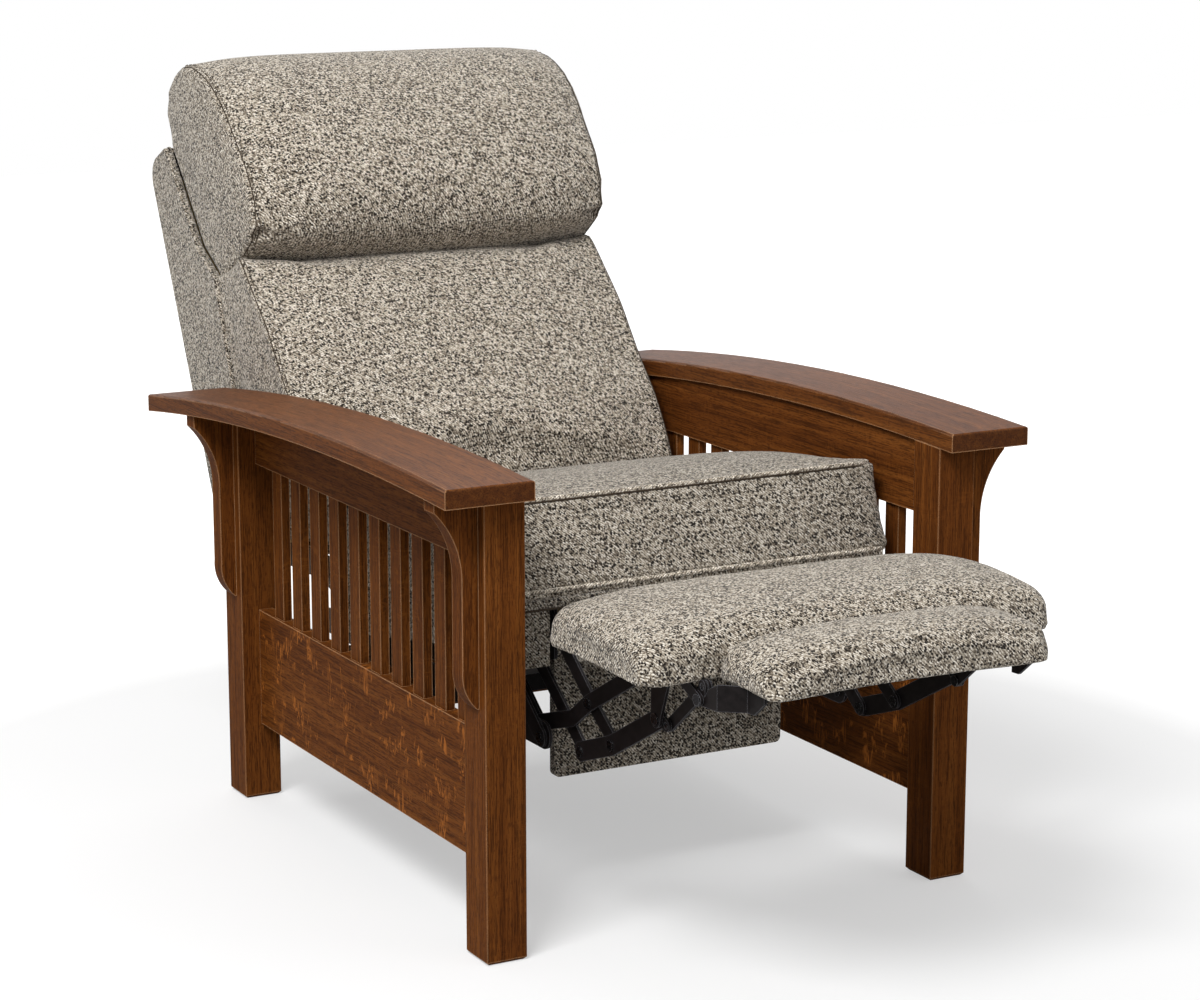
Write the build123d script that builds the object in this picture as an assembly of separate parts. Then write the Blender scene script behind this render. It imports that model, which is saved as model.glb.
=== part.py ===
from build123d import *
import math
import os

os.makedirs("parts", exist_ok=True)

# A mission style bow arm recliner, in millimetres, with its footrest up and its back at rest.
# The chair faces -Y and is alike on both sides of the plane X = 0. Right and left are the
# sitter's, so right is at -X. Heights are measured from the floor, and Y from the front face
# of the front legs until every piece is moved so that the whole stands centred on the origin.

# Side frames of oak
frame_width = 735.0
leg_width = 57.0
leg_depth = 60.0
leg_spread = 857.5
foot_chamfer = 4.0
edge_ease = 1.5
rail_recess = 27.5
rail_thickness = 22.0
bottom_rail_bottom = 113.0
bottom_rail_top = 287.0
top_rail_drop = 96.5
rail_tenon_length = 25.0
rail_tenon_thickness = 10.0
rail_tenon_shoulder = 15.0
slat_count = 10
slat_width = 31.5
slat_thickness = 13.0
slat_tenon = 8.0

# Bowed arms
arm_width = 123.0
arm_thickness = 25.0
arm_front_overhang = 27.5
arm_rear_overhang = 125.0
arm_front_height = 602.5
arm_fall = 39.5
arm_rise = 23.5
arm_edge_ease = 3.0

# Corbels under the arms
corbel_thickness = 28.0
corbel_reach = 60.0
corbel_length = 272.0
corbel_lip = 16.0
corbel_waist = 23.0
corbel_waist_drop = 105.0
corbel_tip_height = 52.0
corbel_tip = 3.0
corbel_hollow_shares = (0.72, 0.44)
corbel_bulge_shares = (0.62, 0.26)

# Base inside the side frames
stretcher_thickness = 22.0
stretcher_bottom = 94.0
stretcher_top = 189.0
stretcher_setback = 17.5
tube_side = 25.0
tube_wall = 2.0
tube_top = 239.0
front_tube_inset = 402.5
rear_tube_inset = 157.5
tube_plate_height = 60.0
tube_plate_depth = 50.0
tube_plate_thickness = 3.0

# Steel plates lie in layers, from the inside of the chair outwards
plate = 4.0
layer_step = 5.0
plate_inset = 106.5
base_layer_gap = 2.0
pin_radius = 4.0
pin_clearance = 0.3
head_radius = 7.5
head_height = 2.0
link_width = 22.0
narrow_link_width = 16.0
plate_margin = 8.0
bracket_tail = 33.0
bracket_strip = 16.0

# Seat unit, sloping down to the rear
seat_slope = 9.9
seat_front = 99.0
seat_front_height = 451.0
seat_side_clearance = 25.5
deck_thickness = 6.0
seat_rail_height = 72.0
seat_rail_thickness = 24.0
cross_rail_height = 50.0
seat_frame_front = 92.0
seat_rear_inset = 193.5
front_rail_thickness = 25.0
front_rail_bottom = 354.0
notch_half_width = 14.5
notch_top = 428.0
mid_rail_place = 330.0

# Seat cushion, measured along the sloping deck
cushion_gap = 0.6
cushion_length = 552.0
cushion_thickness = 117.0
cushion_side_clearance = 12.5
cushion_rear_clearance = 6.8
cushion_crown = 16.0
cushion_base_bow = 0.5
cushion_front_lean = 14.0
cushion_corner_share = 0.2
cushion_side_draw = 9.0

# Lift links that carry the seat on the base
lift_front_y = 108.0
lift_rear_inset = 337.5
lift_base_height = 255.0
lift_run = 80.0
lift_rise = 62.0
base_plate_height = 37.0
base_plate_inset = 57.5
outer_plate_lift = 14.8

# Footrest linkage, at the near and far side: pivots in the plane of the links
fold_y = 125.5
fold_height = 412.5
front_link_run = 176.5
front_link_drop = 129.5
upper_pivot_run = 60.0
upper_pivot_rise = 40.0
lower_link_run = 121.0
lower_link_rise = 66.0
bracket_height = 74.0
pad_rear_run = 142.0
rear_pivot_run = 81.0
rear_pivot_drop = 29.0
upper_tail_run = 42.0
upper_tail_drop = 30.0
crank_run = 141.0
crank_drop = 61.0
torque_radius = 11.0
torque_wall = 2.5
ottoman_flange = 28.0

# Footrest pads
ottoman_side_clearance = 22.5
ottoman_depth = 245.0
pad_thickness = 58.0
pad_crown = 10.0
board_thickness = 12.0
board_inset = 16.0
board_setback = 24.0
flipper_side_inset = 110.5
flipper_gap = 3.0
flipper_depth = 126.0
flipper_thickness = 52.0
flipper_rise = 2.0
flipper_crown = 7.0
flipper_hinge_run = 100.0
flipper_hinge_rise = 49.0
control_pivot_run = 16.937
control_pivot_drop = 4.713
flipper_arm_run = 1.856
flipper_arm_rise = 16.141
control_slot = 2.0
flipper_bracket_setback = 32.0
flipper_plate_step = 26.0
joggle_start = 38.0
joggle_length = 26.0
pad_side_draw = 9.0
pad_corner_share = 0.4
draw_in_shares = ((0.0, 0.0), (0.45, 0.01), (0.8, 0.08), (0.93, 0.27), (0.985, 0.6), (1.0, 1.0))
pad_draw_shares = ((0.0, 0.0), (0.7, 0.05), (0.93, 0.3), (1.0, 1.0))
bow_loss_share = 0.45

# Drop panel behind the footrest linkage
panel_side_inset = 133.5
panel_y = 183.0
panel_top = 364.0
panel_bottom = 173.0
panel_thickness = 13.0
panel_corner = 8.0
panel_square_top = 12.0
panel_rail_height = 22.0
panel_rail_depth = 26.0
hinge_radius = 3.0
panel_swing_gap = 0.35

# Back unit, measured up its rear face from the bottom edge and forward from that face
back_lean = 25.5
back_overhang = 152.5
back_bottom_height = 304.0
back_height = 655.0
back_top_depth = 75.0
back_pillow_height = 471.0
back_pillow_depth = 127.0
back_seat_height = 409.0
back_seat_depth = 172.0
back_bottom_depth = 140.0
back_side_clearance = 5.5
back_panel = 12.0
back_cover = 8.0
back_top_radius = 34.0
back_post = 25.0
back_rail_height = 60.0
back_rail_lift = 20.0
back_pivot_inset = 67.5
back_pivot_height = 344.0
back_bracket_width = 40.0
back_bracket_forward = 85.0
back_bracket_reach = 150.0
back_cushion_height = 402.0
back_cushion_top_depth = 270.0
back_corner_share = 0.06
pillow_top = 756.0
pillow_front = 355.0
pillow_side_clearance = 9.5
pillow_draw_share = 0.06
soft_gap = 0.8
pillow_gap = 3.2
pillow_top_gap = 2.4
pillow_rear_gap = 1.6
seat_gap = 0.35
over = 1.0
pocket_trim = 0.25

arm_rear_height = arm_front_height - arm_fall
top_rail_bottom = arm_front_height - top_rail_drop
inner_face = frame_width / 2 - leg_width
seat_half_width = inner_face - seat_side_clearance
cushion_half_width = inner_face - cushion_side_clearance
ottoman_half_width = inner_face - ottoman_side_clearance
flipper_half_width = inner_face - flipper_side_inset
panel_half_width = inner_face - panel_side_inset
back_half_width = inner_face - back_side_clearance
pillow_half_width = inner_face - pillow_side_clearance
inner_plate_x = inner_face - plate_inset
rail_outer = frame_width / 2 - rail_recess
rail_inner = rail_outer - rail_thickness
rear_leg_front = leg_spread - leg_depth
link_x = inner_plate_x + layer_step
coupler_x = link_x + layer_step
bracket_x = coupler_x + layer_step
base_x = bracket_x + layer_step + base_layer_gap
lift_x = base_x + layer_step
outer_plate_x = lift_x + layer_step
wood_x = outer_plate_x + plate
flipper_plate_x = coupler_x - flipper_plate_step
front_tube_place = leg_spread - front_tube_inset
rear_tube_place = leg_spread - rear_tube_inset
seat_frame_rear = leg_spread - seat_rear_inset
lift_rear_y = leg_spread - lift_rear_inset
base_plate_rear = leg_spread - base_plate_inset
back_bottom_y = leg_spread + back_overhang
back_pivot_y = leg_spread - back_pivot_inset


def block(x0, x1, y0, y1, z0, z1):
    """A box between two corners."""
    box = Box(x1 - x0, y1 - y0, z1 - z0, align=(Align.MIN, Align.MIN, Align.MIN))
    return Pos(x0, y0, z0) * box


def both(shape):
    """The piece and its mirror image on the other side of the chair."""
    return Compound(children=[shape, mirror(shape, about=Plane.YZ)])


def side_plane(x):
    """A sketch plane across the chair at x, whose own axes are Y and Z."""
    return Plane(origin=(x, 0, 0), x_dir=(0, 1, 0), z_dir=(1, 0, 0))


def side_solid(face, x0, x1):
    """A profile drawn in Y and Z, run across the chair from x0 to x1."""
    return extrude(side_plane(x0) * face, x1 - x0, dir=(1, 0, 0))


def polygon(points):
    """A flat face through the points."""
    return make_face(Polyline(*points, close=True))


def rounded_polygon(points, radii):
    """A flat face whose corners have the radii given, where not zero."""
    face = polygon(points)
    for point, radius in zip(points, radii):
        if radius > 0:
            corner = min(face.vertices(), key=lambda v: math.hypot(v.X - point[0], v.Y - point[1]))
            face = fillet(corner, radius)
    return face


def bar_face(points, width):
    """A bar with round ends and knees that follows the points."""
    face = Pos(*points[0]) * Circle(width / 2)
    for start, end in zip(points, points[1:]):
        run = math.hypot(end[0] - start[0], end[1] - start[1])
        angle = math.degrees(math.atan2(end[1] - start[1], end[0] - start[0]))
        middle = ((start[0] + end[0]) / 2, (start[1] + end[1]) / 2)
        face += Pos(*middle) * Rot(0, 0, angle) * Rectangle(run, width)
        face += Pos(*end) * Circle(width / 2)
    return face


def holes(points):
    """Round holes for pins, drawn in Y and Z."""
    return [Pos(*point) * Circle(pin_radius + pin_clearance) for point in points]


def link(points, pivots, width, x):
    """A flat steel link in the layer at x, with a hole at each pivot."""
    face = bar_face(points, width)
    for hole in holes(pivots):
        face -= hole
    return side_solid(face, x, x + plate)


def pin(point, x0, x1, head_in=False, head_out=True):
    """A rivet through the layers from x0 to x1, with a head where it shows."""
    body = side_solid(Pos(*point) * Circle(pin_radius), x0, x1)
    if head_out:
        body += side_solid(Pos(*point) * Circle(head_radius), x1, x1 + head_height)
    if head_in:
        body += side_solid(Pos(*point) * Circle(head_radius), x0 - head_height, x0)
    return body


def arm_underside(y):
    """Height of the arm's bowed underside at y."""
    start = -arm_front_overhang
    length = leg_spread + arm_front_overhang + arm_rear_overhang
    share = (y - start) / length
    chord = arm_front_height + (arm_rear_height - arm_front_height) * share
    return chord + 4 * arm_rise * share * (1 - share)


def arm_curve(offset):
    """The arc of the bow, raised by the offset, as three points from front to rear."""
    front = -arm_front_overhang
    rear = leg_spread + arm_rear_overhang
    middle = (front + rear) / 2
    return [(y, arm_underside(y) + offset) for y in (front, middle, rear)]


def below_arm(top_margin):
    """A side profile from below the floor up to the arm's underside, to trim what meets it."""
    low, mid, high = arm_curve(0)
    curve = ThreePointArc(low, mid, high)
    sides = Polyline(high, (high[0], -top_margin), (low[0], -top_margin), low)
    return make_face(Wire([*curve.edges(), *sides.edges()]))


under_arm = below_arm(leg_spread)


def trimmed(shape, x0, x1):
    """The shape with all that rises past the arm's underside cut off."""
    return shape & side_solid(under_arm, x0 - over, x1 + over)


def leg(y0):
    """One square leg, eased at the foot, with mortises for the two rails."""
    x0 = -frame_width / 2
    x1 = x0 + leg_width
    top = arm_front_height + arm_rise
    post = block(x0, x1, y0, y0 + leg_depth, 0, top)
    post = chamfer(post.faces().sort_by(Axis.Z)[0].edges(), foot_chamfer)
    post = trimmed(post, x0, x1)
    upright = post.edges().filter_by(Axis.Z)
    post = fillet(upright, edge_ease)
    for rail in (bottom_rail(), top_rail()):
        post -= rail
    return post


def rail_with_tenons(bottom, top):
    """A rail between the legs with a tenon at each end."""
    rail = block(-rail_outer, -rail_inner, leg_depth, rear_leg_front, bottom, top)
    middle = -(rail_outer + rail_inner) / 2
    side = rail_tenon_thickness / 2
    low = bottom + rail_tenon_shoulder
    high = min(top, arm_rear_height) - rail_tenon_shoulder
    start = leg_depth - rail_tenon_length
    end = rear_leg_front + rail_tenon_length
    return rail + block(middle - side, middle + side, start, end, low, high)


def bottom_rail():
    """The wide rail near the floor."""
    return rail_with_tenons(bottom_rail_bottom, bottom_rail_top)


def top_rail():
    """The rail under the arm, its upper edge cut to the bow."""
    rail = rail_with_tenons(top_rail_bottom, arm_front_height + arm_rise)
    return trimmed(rail, -rail_outer, -rail_inner)


def slat_row():
    """Upright slats, let into both rails by a short tenon."""
    middle_x = -(rail_outer + rail_inner) / 2
    side = slat_thickness / 2
    bay = (leg_depth + rear_leg_front) / 2
    slat_pitch = (rear_leg_front - leg_depth) / (slat_count + 1)
    first = bay - slat_pitch * (slat_count - 1) / 2
    low = bottom_rail_top - slat_tenon
    high = top_rail_bottom + slat_tenon
    slats = []
    for index in range(slat_count):
        y = first + index * slat_pitch
        half = slat_width / 2
        slats.append(block(middle_x - side, middle_x + side, y - half, y + half, low, high))
    return slats


def arm():
    """One bowed arm of even thickness, with all its edges eased."""
    low = arm_curve(0)
    high = arm_curve(arm_thickness)
    lower = ThreePointArc(*low)
    upper = ThreePointArc(*high)
    front = Line(low[0], high[0])
    rear = Line(low[2], high[2])
    face = make_face(Wire([*lower.edges(), *rear.edges(), *upper.edges(), *front.edges()]))
    body = side_solid(face, -inner_face - arm_width, -inner_face)
    middle = arm_thickness / 2
    upper_edges = body.edges().filter_by(lambda e: e.center().Z > arm_underside(e.center().Y) + middle)
    return fillet(upper_edges, arm_edge_ease)


def corbel(y_middle):
    """An S-curved bracket on the outer face of a leg, under the arm."""
    face_x = -frame_width / 2
    half = corbel_thickness / 2
    top = arm_underside(y_middle + half)
    tip = top - corbel_length
    lip = top - corbel_lip
    waist_z = top - corbel_waist_drop
    swell_z = tip + corbel_tip_height
    out = face_x - corbel_reach
    waist_x = face_x - corbel_waist
    across, down = corbel_hollow_shares
    hollow = (out + (waist_x - out) * across, lip + (waist_z - lip) * down)
    across, down = corbel_bulge_shares
    bulge = (face_x - corbel_waist * across, tip + corbel_tip_height * down)
    plane = Plane(origin=(0, y_middle - half, 0), x_dir=(1, 0, 0), z_dir=(0, 1, 0))
    rise = arm_underside(y_middle - half) - top + over
    points_up = [(face_x, -top - rise), (out, -top - rise), (out, -lip)]
    edges = Polyline(*points_up).edges()
    edges += ThreePointArc((out, -lip), (hollow[0], -hollow[1]), (waist_x, -waist_z)).edges()
    edges += Line((waist_x, -waist_z), (waist_x, -swell_z)).edges()
    end = (face_x - corbel_tip, -tip)
    edges += ThreePointArc((waist_x, -swell_z), (bulge[0], -bulge[1]), end).edges()
    edges += Polyline(end, (face_x, -tip), (face_x, -top - rise)).edges()
    solid = extrude(plane * make_face(Wire(edges)), corbel_thickness, dir=(0, 1, 0))
    return trimmed(solid, out, face_x)


def side_frame():
    """The wooden pieces of the right-hand side frame, by name."""
    slats = slat_row()
    lower = bottom_rail()
    upper = top_rail()
    for slat in slats:
        lower -= slat
        upper -= slat
    return {
        "front_leg": leg(0),
        "rear_leg": leg(rear_leg_front),
        "arm": arm(),
        "top_rail": upper,
        "bottom_rail": lower,
        "slats": Compound(children=slats),
        "front_corbel": corbel(leg_depth / 2),
        "rear_corbel": corbel(rear_leg_front + leg_depth / 2),
    }


# Pivots of the base and seat, as pairs of Y and Z
lift_base_front = (lift_front_y, lift_base_height)
lift_base_rear = (lift_rear_y, lift_base_height)
lift_seat_front = (lift_front_y + lift_run, lift_base_height + lift_rise)
lift_seat_rear = (lift_rear_y + lift_run, lift_base_height + lift_rise)
back_pivot = (back_pivot_y, back_pivot_height)

# Pivots of the footrest linkage, with the footrest up
fold_pivot = (fold_y, fold_height)
knee = (fold_y - front_link_run, fold_height - front_link_drop)
upper_knee = (knee[0] + upper_pivot_run, knee[1] + upper_pivot_rise)
ottoman_lower = (knee[0] - lower_link_run, knee[1] + lower_link_rise)
ottoman_upper = (ottoman_lower[0] + upper_pivot_run, ottoman_lower[1] + upper_pivot_rise)
rear_knee = (knee[0] + rear_pivot_run, knee[1] - rear_pivot_drop)
rear_fold_pivot = (fold_y + rear_pivot_run, fold_height - rear_pivot_drop)
torque_pivot = (fold_y + crank_run, fold_height - crank_drop)
crank_knee = (upper_knee[0] + crank_run, upper_knee[1] - crank_drop)
flipper_hinge = (ottoman_lower[0] - flipper_hinge_run, ottoman_lower[1] + flipper_hinge_rise)
control_low = (ottoman_lower[0] - control_pivot_run, ottoman_lower[1] - control_pivot_drop)
control_high = (flipper_hinge[0] - flipper_arm_run, flipper_hinge[1] + flipper_arm_rise)
ottoman_underside = ottoman_lower[1] + bracket_height
ottoman_rear = ottoman_lower[0] + pad_rear_run


def base_pieces():
    """The stretcher, tubes and plates that join the two side frames."""
    reach = rail_inner
    stretcher_y = rear_leg_front + stretcher_setback
    rear = stretcher_y + stretcher_thickness
    stretcher = block(-inner_face, inner_face, stretcher_y, rear, stretcher_bottom, stretcher_top)
    tubes = []
    for place in (front_tube_place, rear_tube_place):
        bore = tube_side - tube_wall - tube_wall
        section = Rectangle(tube_side, tube_side) - Rectangle(bore, bore)
        face = Pos(place, tube_top - tube_side / 2) * section
        inside = reach - tube_plate_thickness
        tube = side_solid(face, -inside, inside)
        half = tube_plate_depth / 2
        middle = tube_top - tube_side / 2
        low = middle - tube_plate_height / 2
        high = middle + tube_plate_height / 2
        end = block(inside, reach, place - half, place + half, low, high)
        tubes.append(tube + end + mirror(end, about=Plane.YZ))
    bottom = tube_top
    top = tube_top + base_plate_height
    outline = [
        (lift_front_y, bottom), (base_plate_rear, bottom), (base_plate_rear, top), (lift_front_y, top),
    ]
    face = polygon(outline) + Pos(lift_front_y, (bottom + top) / 2) * Circle(base_plate_height / 2)
    for hole in holes([lift_base_front, lift_base_rear]):
        face -= hole
    side_plates = both(side_solid(face, base_x, base_x + plate))
    pins = [pin(p, base_x, lift_x + plate, head_in=True) for p in (lift_base_front, lift_base_rear)]
    return {
        "rear_stretcher": stretcher,
        "base_cross_tubes": Compound(children=tubes),
        "base_side_plates": side_plates,
        "base_pivot_pins": Compound(children=[s for p in pins for s in both(p).solids()]),
    }


def lift_pieces():
    """Front and rear lift links, on which the seat swings forward."""
    front_pivots = [lift_base_front, lift_seat_front]
    rear_pivots = [lift_base_rear, lift_seat_rear]
    front = link(front_pivots, front_pivots, link_width + plate, lift_x)
    rear = link(rear_pivots, rear_pivots, link_width + plate, lift_x)
    return {"front_lift_links": both(front), "rear_lift_links": both(rear)}


def deck_height(y):
    """Height of the underside of the cushion at y."""
    return seat_front_height - (y - seat_front) * math.tan(math.radians(seat_slope))


def seat_point(along, up):
    """A point measured back along the sloping deck and square up from it."""
    slope = math.radians(seat_slope)
    y = seat_front + along * math.cos(slope) + up * math.sin(slope)
    z = seat_front_height - along * math.sin(slope) + up * math.cos(slope)
    return (y, z)


def strip(y0, y1, top_drop, height):
    """A side profile that follows the deck from y0 to y1, with upright ends."""
    return polygon([
        (y0, deck_height(y0) - top_drop), (y1, deck_height(y1) - top_drop),
        (y1, deck_height(y1) - top_drop - height), (y0, deck_height(y0) - top_drop - height),
    ])


def seat_frame():
    """The wooden seat frame with its fabric-covered front rail and deck."""
    drop = deck_thickness + cushion_gap
    inside_front = seat_frame_front + front_rail_thickness
    side_face = strip(inside_front, seat_frame_rear, drop, seat_rail_height)
    side = side_solid(side_face, wood_x, wood_x + seat_rail_thickness)
    rear_start = seat_frame_rear - seat_rail_thickness
    rear_face = strip(rear_start, seat_frame_rear, drop, cross_rail_height)
    rear = side_solid(rear_face, -outer_plate_x, outer_plate_x)
    mid_face = strip(mid_rail_place, mid_rail_place + seat_rail_thickness, drop, cross_rail_height)
    mid = side_solid(mid_face, -outer_plate_x, outer_plate_x)
    front_top = [
        (seat_frame_front, deck_height(seat_frame_front) - drop),
        (inside_front, deck_height(inside_front) - drop),
        (inside_front, front_rail_bottom), (seat_frame_front, front_rail_bottom),
    ]
    front = side_solid(polygon(front_top), -seat_half_width, seat_half_width)
    middle = link_x + plate + (layer_step - plate) / 2
    notch = block(
        middle - notch_half_width, middle + notch_half_width,
        seat_frame_front - over, inside_front + over, front_rail_bottom - over, notch_top,
    )
    front -= both(notch)
    deck_face = strip(seat_frame_front, seat_frame_rear, cushion_gap, deck_thickness)
    deck = side_solid(deck_face, -seat_half_width, seat_half_width)
    return {
        "seat_side_rails": both(side),
        "seat_cross_rails": Compound(children=[mid, rear]),
        "seat_front_rail": front,
        "seat_deck": deck,
    }


def inner_plate():
    """The steel plate that carries the footrest linkage, with a flange under the deck."""
    start = seat_frame_front + front_rail_thickness
    top_drop = deck_thickness + cushion_gap
    low = torque_pivot[1] - torque_radius - plate_margin
    outline = [
        (start, deck_height(start) - top_drop), (mid_rail_place, deck_height(mid_rail_place) - top_drop),
        (mid_rail_place, low), (rear_fold_pivot[0] - link_width, low), (start, low + link_width),
    ]
    face = polygon(outline)
    face -= Pos(*fold_pivot) * Circle(pin_radius + pin_clearance)
    face -= Pos(*rear_fold_pivot) * Circle(pin_radius + pin_clearance)
    face -= Pos(*torque_pivot) * Circle(torque_radius + pin_clearance)
    web = side_solid(face, inner_plate_x, inner_plate_x + plate)
    flange_face = strip(start, mid_rail_place, top_drop, plate)
    flange = side_solid(flange_face, inner_plate_x - ottoman_flange, inner_plate_x + plate)
    return both(web + flange)


def outer_plate():
    """The long steel plate on the seat's side rail, from the front lift link to the back pivot."""
    drop = deck_thickness + cushion_gap + plate
    front = lift_seat_front[0] - link_width
    end = back_pivot[0]
    low_front = lift_seat_front[1] - link_width / 2 - plate
    low_rear = lift_base_height + outer_plate_lift
    outline = [
        (front, deck_height(front) - drop), (seat_frame_rear, deck_height(seat_frame_rear) - drop),
        (end, back_pivot[1] + back_bracket_width / 2), (end, back_pivot[1] - back_bracket_width / 2),
        (seat_frame_rear, low_rear), (lift_seat_front[0] + link_width, low_front), (front, low_front),
    ]
    face = polygon(outline) + Pos(*back_pivot) * Circle(back_bracket_width / 2)
    for hole in holes([lift_seat_front, lift_seat_rear, back_pivot]):
        face -= hole
    return both(side_solid(face, outer_plate_x, outer_plate_x + plate))


def cushion_face(corners, bows, radius_share, inset):
    """A four-sided cushion section: corners drawn in, each side bowed outward by its own amount."""
    cy = sum(c[0] for c in corners) / len(corners)
    cz = sum(c[1] for c in corners) / len(corners)
    placed = []
    for y, z in corners:
        reach_y = abs(y - cy)
        reach_z = abs(z - cz)
        share_y = 1 - inset / reach_y
        share_z = 1 - inset / reach_z
        placed.append((cy + (y - cy) * share_y, cz + (z - cz) * share_z))
    edges = []
    for index, bow in enumerate(bows):
        start = placed[index]
        end = placed[(index + 1) % len(placed)]
        length = math.hypot(end[0] - start[0], end[1] - start[1])
        out = ((end[1] - start[1]) / length, -(end[0] - start[0]) / length)
        middle = ((start[0] + end[0]) / 2 + out[0] * bow, (start[1] + end[1]) / 2 + out[1] * bow)
        edges += (ThreePointArc(start, middle, end) if bow else Line(start, end)).edges()
    face = make_face(Wire(edges))
    side = math.hypot(placed[2][0] - placed[1][0], placed[2][1] - placed[1][1])
    return fillet(face.vertices(), side * radius_share)


def across_chair(shares):
    """Stations from the middle outwards, given for both sides in order across the chair."""
    return [(-across, inset) for across, inset in reversed(shares[1:])] + list(shares)


def soft_block(corners, bows, radius_share, half_width, draw, draw_shares=draw_in_shares):
    """A cushion lofted across the chair: full in the middle, drawn in towards both ends."""
    sections = []
    for across, inset in across_chair(draw_shares):
        thin = 1 - bow_loss_share * across**2
        face = cushion_face(corners, [bow * thin for bow in bows], radius_share, draw * inset)
        sections.append(side_plane(half_width * across) * face)
    return loft(sections, ruled=True)


def seat_cushion():
    """The boxed seat cushion, crowned, with its front face leaning back."""
    corners = [
        seat_point(0, 0), seat_point(cushion_length, 0),
        seat_point(cushion_length, cushion_thickness), seat_point(cushion_front_lean, cushion_thickness),
    ]
    bows = [cushion_base_bow, over, cushion_crown, cushion_crown / 2]
    return soft_block(corners, bows, cushion_corner_share, cushion_half_width, cushion_side_draw)


def pad(rear, depth, underside, thickness, bows, half_width):
    """A footrest pad wrapped round its board: flat beneath, crowned above, with round edges."""
    front = rear - depth
    top = underside + thickness
    corners = [(front, underside), (rear, underside), (rear, top), (front, top)]
    body = soft_block(corners, bows, pad_corner_share, half_width, pad_side_draw, pad_draw_shares)
    board = pad_board(rear, depth, underside, half_width)
    pocket = pad_board(rear, depth, underside, half_width, soft_gap / 2)
    floor_top = underside + pocket_trim
    floor = block(-half_width, half_width, front - over, rear + over, underside - thickness, floor_top)
    return body - pocket - floor, board


def pad_board(rear, depth, underside, half_width, gap=0.0):
    """The plywood board inside a pad, flush with its underside."""
    side = half_width - board_inset + gap
    y0 = rear - depth + board_setback - gap
    y1 = rear - board_setback + gap
    return block(-side, side, y0, y1, underside, underside + board_thickness + gap)


def linkage():
    """The footrest linkage of both sides, with the torque tube that joins them."""
    front = link([fold_pivot, upper_knee, knee], [fold_pivot, upper_knee, knee], link_width, link_x)
    rear = link([rear_fold_pivot, rear_knee], [rear_fold_pivot, rear_knee], link_width, link_x)
    crank = link([torque_pivot, crank_knee], [crank_knee], link_width, link_x)
    elbow = (upper_knee[0] + upper_tail_run, upper_knee[1] - upper_tail_drop)
    upper_pivots = [crank_knee, upper_knee, ottoman_upper]
    upper = link([crank_knee, elbow, upper_knee, ottoman_upper], upper_pivots, link_width, coupler_x)
    lower_pivots = [rear_knee, knee, ottoman_lower, control_low]
    lower = link([rear_knee, knee, ottoman_lower], [], link_width + plate, coupler_x)
    lower += link([ottoman_lower, control_low], [], narrow_link_width, coupler_x)
    for hole in holes(lower_pivots):
        lower -= side_solid(hole, coupler_x, coupler_x + plate)
    tube_end = link_x + plate
    ring = Circle(torque_radius) - Circle(torque_radius - torque_wall)
    tube = side_solid(Pos(*torque_pivot) * ring, -tube_end, tube_end)
    return {
        "front_fold_links": both(front),
        "rear_fold_links": both(rear),
        "upper_fold_links": both(upper),
        "lower_fold_links": both(lower),
        "drive_crank_tube": crank + tube + mirror(crank, about=Plane.YZ),
    }


def ottoman_bracket():
    """The folded bracket under the footrest board, with an arm forward to the flipper hinge."""
    top = ottoman_underside
    rear = ottoman_upper[0] + narrow_link_width
    front = flipper_hinge[0] + link_width + narrow_link_width
    half = link_width / 2
    strip_low = top - bracket_strip
    face = polygon([
        (rear, top), (front, top), (front, strip_low), (ottoman_lower[0] - bracket_tail, strip_low),
        (ottoman_lower[0] - half, ottoman_lower[1]), (ottoman_lower[0] + half, ottoman_lower[1]),
        (ottoman_lower[0] + half, strip_low), (rear, strip_low),
    ])
    face += Pos(*ottoman_lower) * Circle(half)
    face += bar_face([ottoman_upper, (ottoman_upper[0], top - narrow_link_width / 2)], narrow_link_width)
    face += bar_face([(front, top - narrow_link_width / 2), flipper_hinge], narrow_link_width)
    for hole in holes([ottoman_upper, ottoman_lower, flipper_hinge]):
        face -= hole
    web = side_solid(face, bracket_x, bracket_x + plate)
    flange = block(bracket_x + plate - ottoman_flange, bracket_x + plate, front, rear, top - plate, top)
    return both(web + flange)


def flipper_bracket():
    """The bracket under the flipper, stepped inward from the hinge, with a flange under its board."""
    start = flipper_hinge[0] - joggle_start
    end = start - joggle_length
    front = ottoman_rear - ottoman_depth - flipper_gap - flipper_depth + flipper_bracket_setback
    top = flipper_underside
    low = flipper_hinge[1] - narrow_link_width / 2
    outer = coupler_x + plate
    inner = flipper_plate_x + plate
    rear = flipper_hinge[0] + narrow_link_width / 2 + over
    plan = polygon([
        (coupler_x, rear), (coupler_x, start), (flipper_plate_x, end), (flipper_plate_x, front),
        (inner, front), (inner, end + over), (outer, start + over), (outer, rear),
    ])
    sheet = extrude(Pos(0, 0, low - plate) * plan, top - low + plate)
    outline = bar_face([control_high, flipper_hinge], narrow_link_width)
    outline += polygon([
        (flipper_hinge[0], low), (front + link_width, low + plate), (front, low + link_width),
        (front, top), (start, top),
        (flipper_hinge[0] - narrow_link_width, flipper_hinge[1] + narrow_link_width),
    ])
    for hole in holes([control_high, flipper_hinge]):
        outline -= hole
    web = sheet & side_solid(outline, flipper_plate_x - over, outer + over)
    flange = block(inner - ottoman_flange, inner, front, end, top - plate, top)
    return both(web + flange)


def control_link():
    """The thin link that turns the flipper, with a slotted hole at its upper end."""
    face = bar_face([control_low, control_high], narrow_link_width)
    face -= Pos(*control_low) * Circle(pin_radius + pin_clearance)
    face -= Pos(*control_high) * Circle(pin_radius + control_slot)
    return both(side_solid(face, link_x, link_x + plate))


flipper_underside = ottoman_underside + flipper_rise


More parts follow.
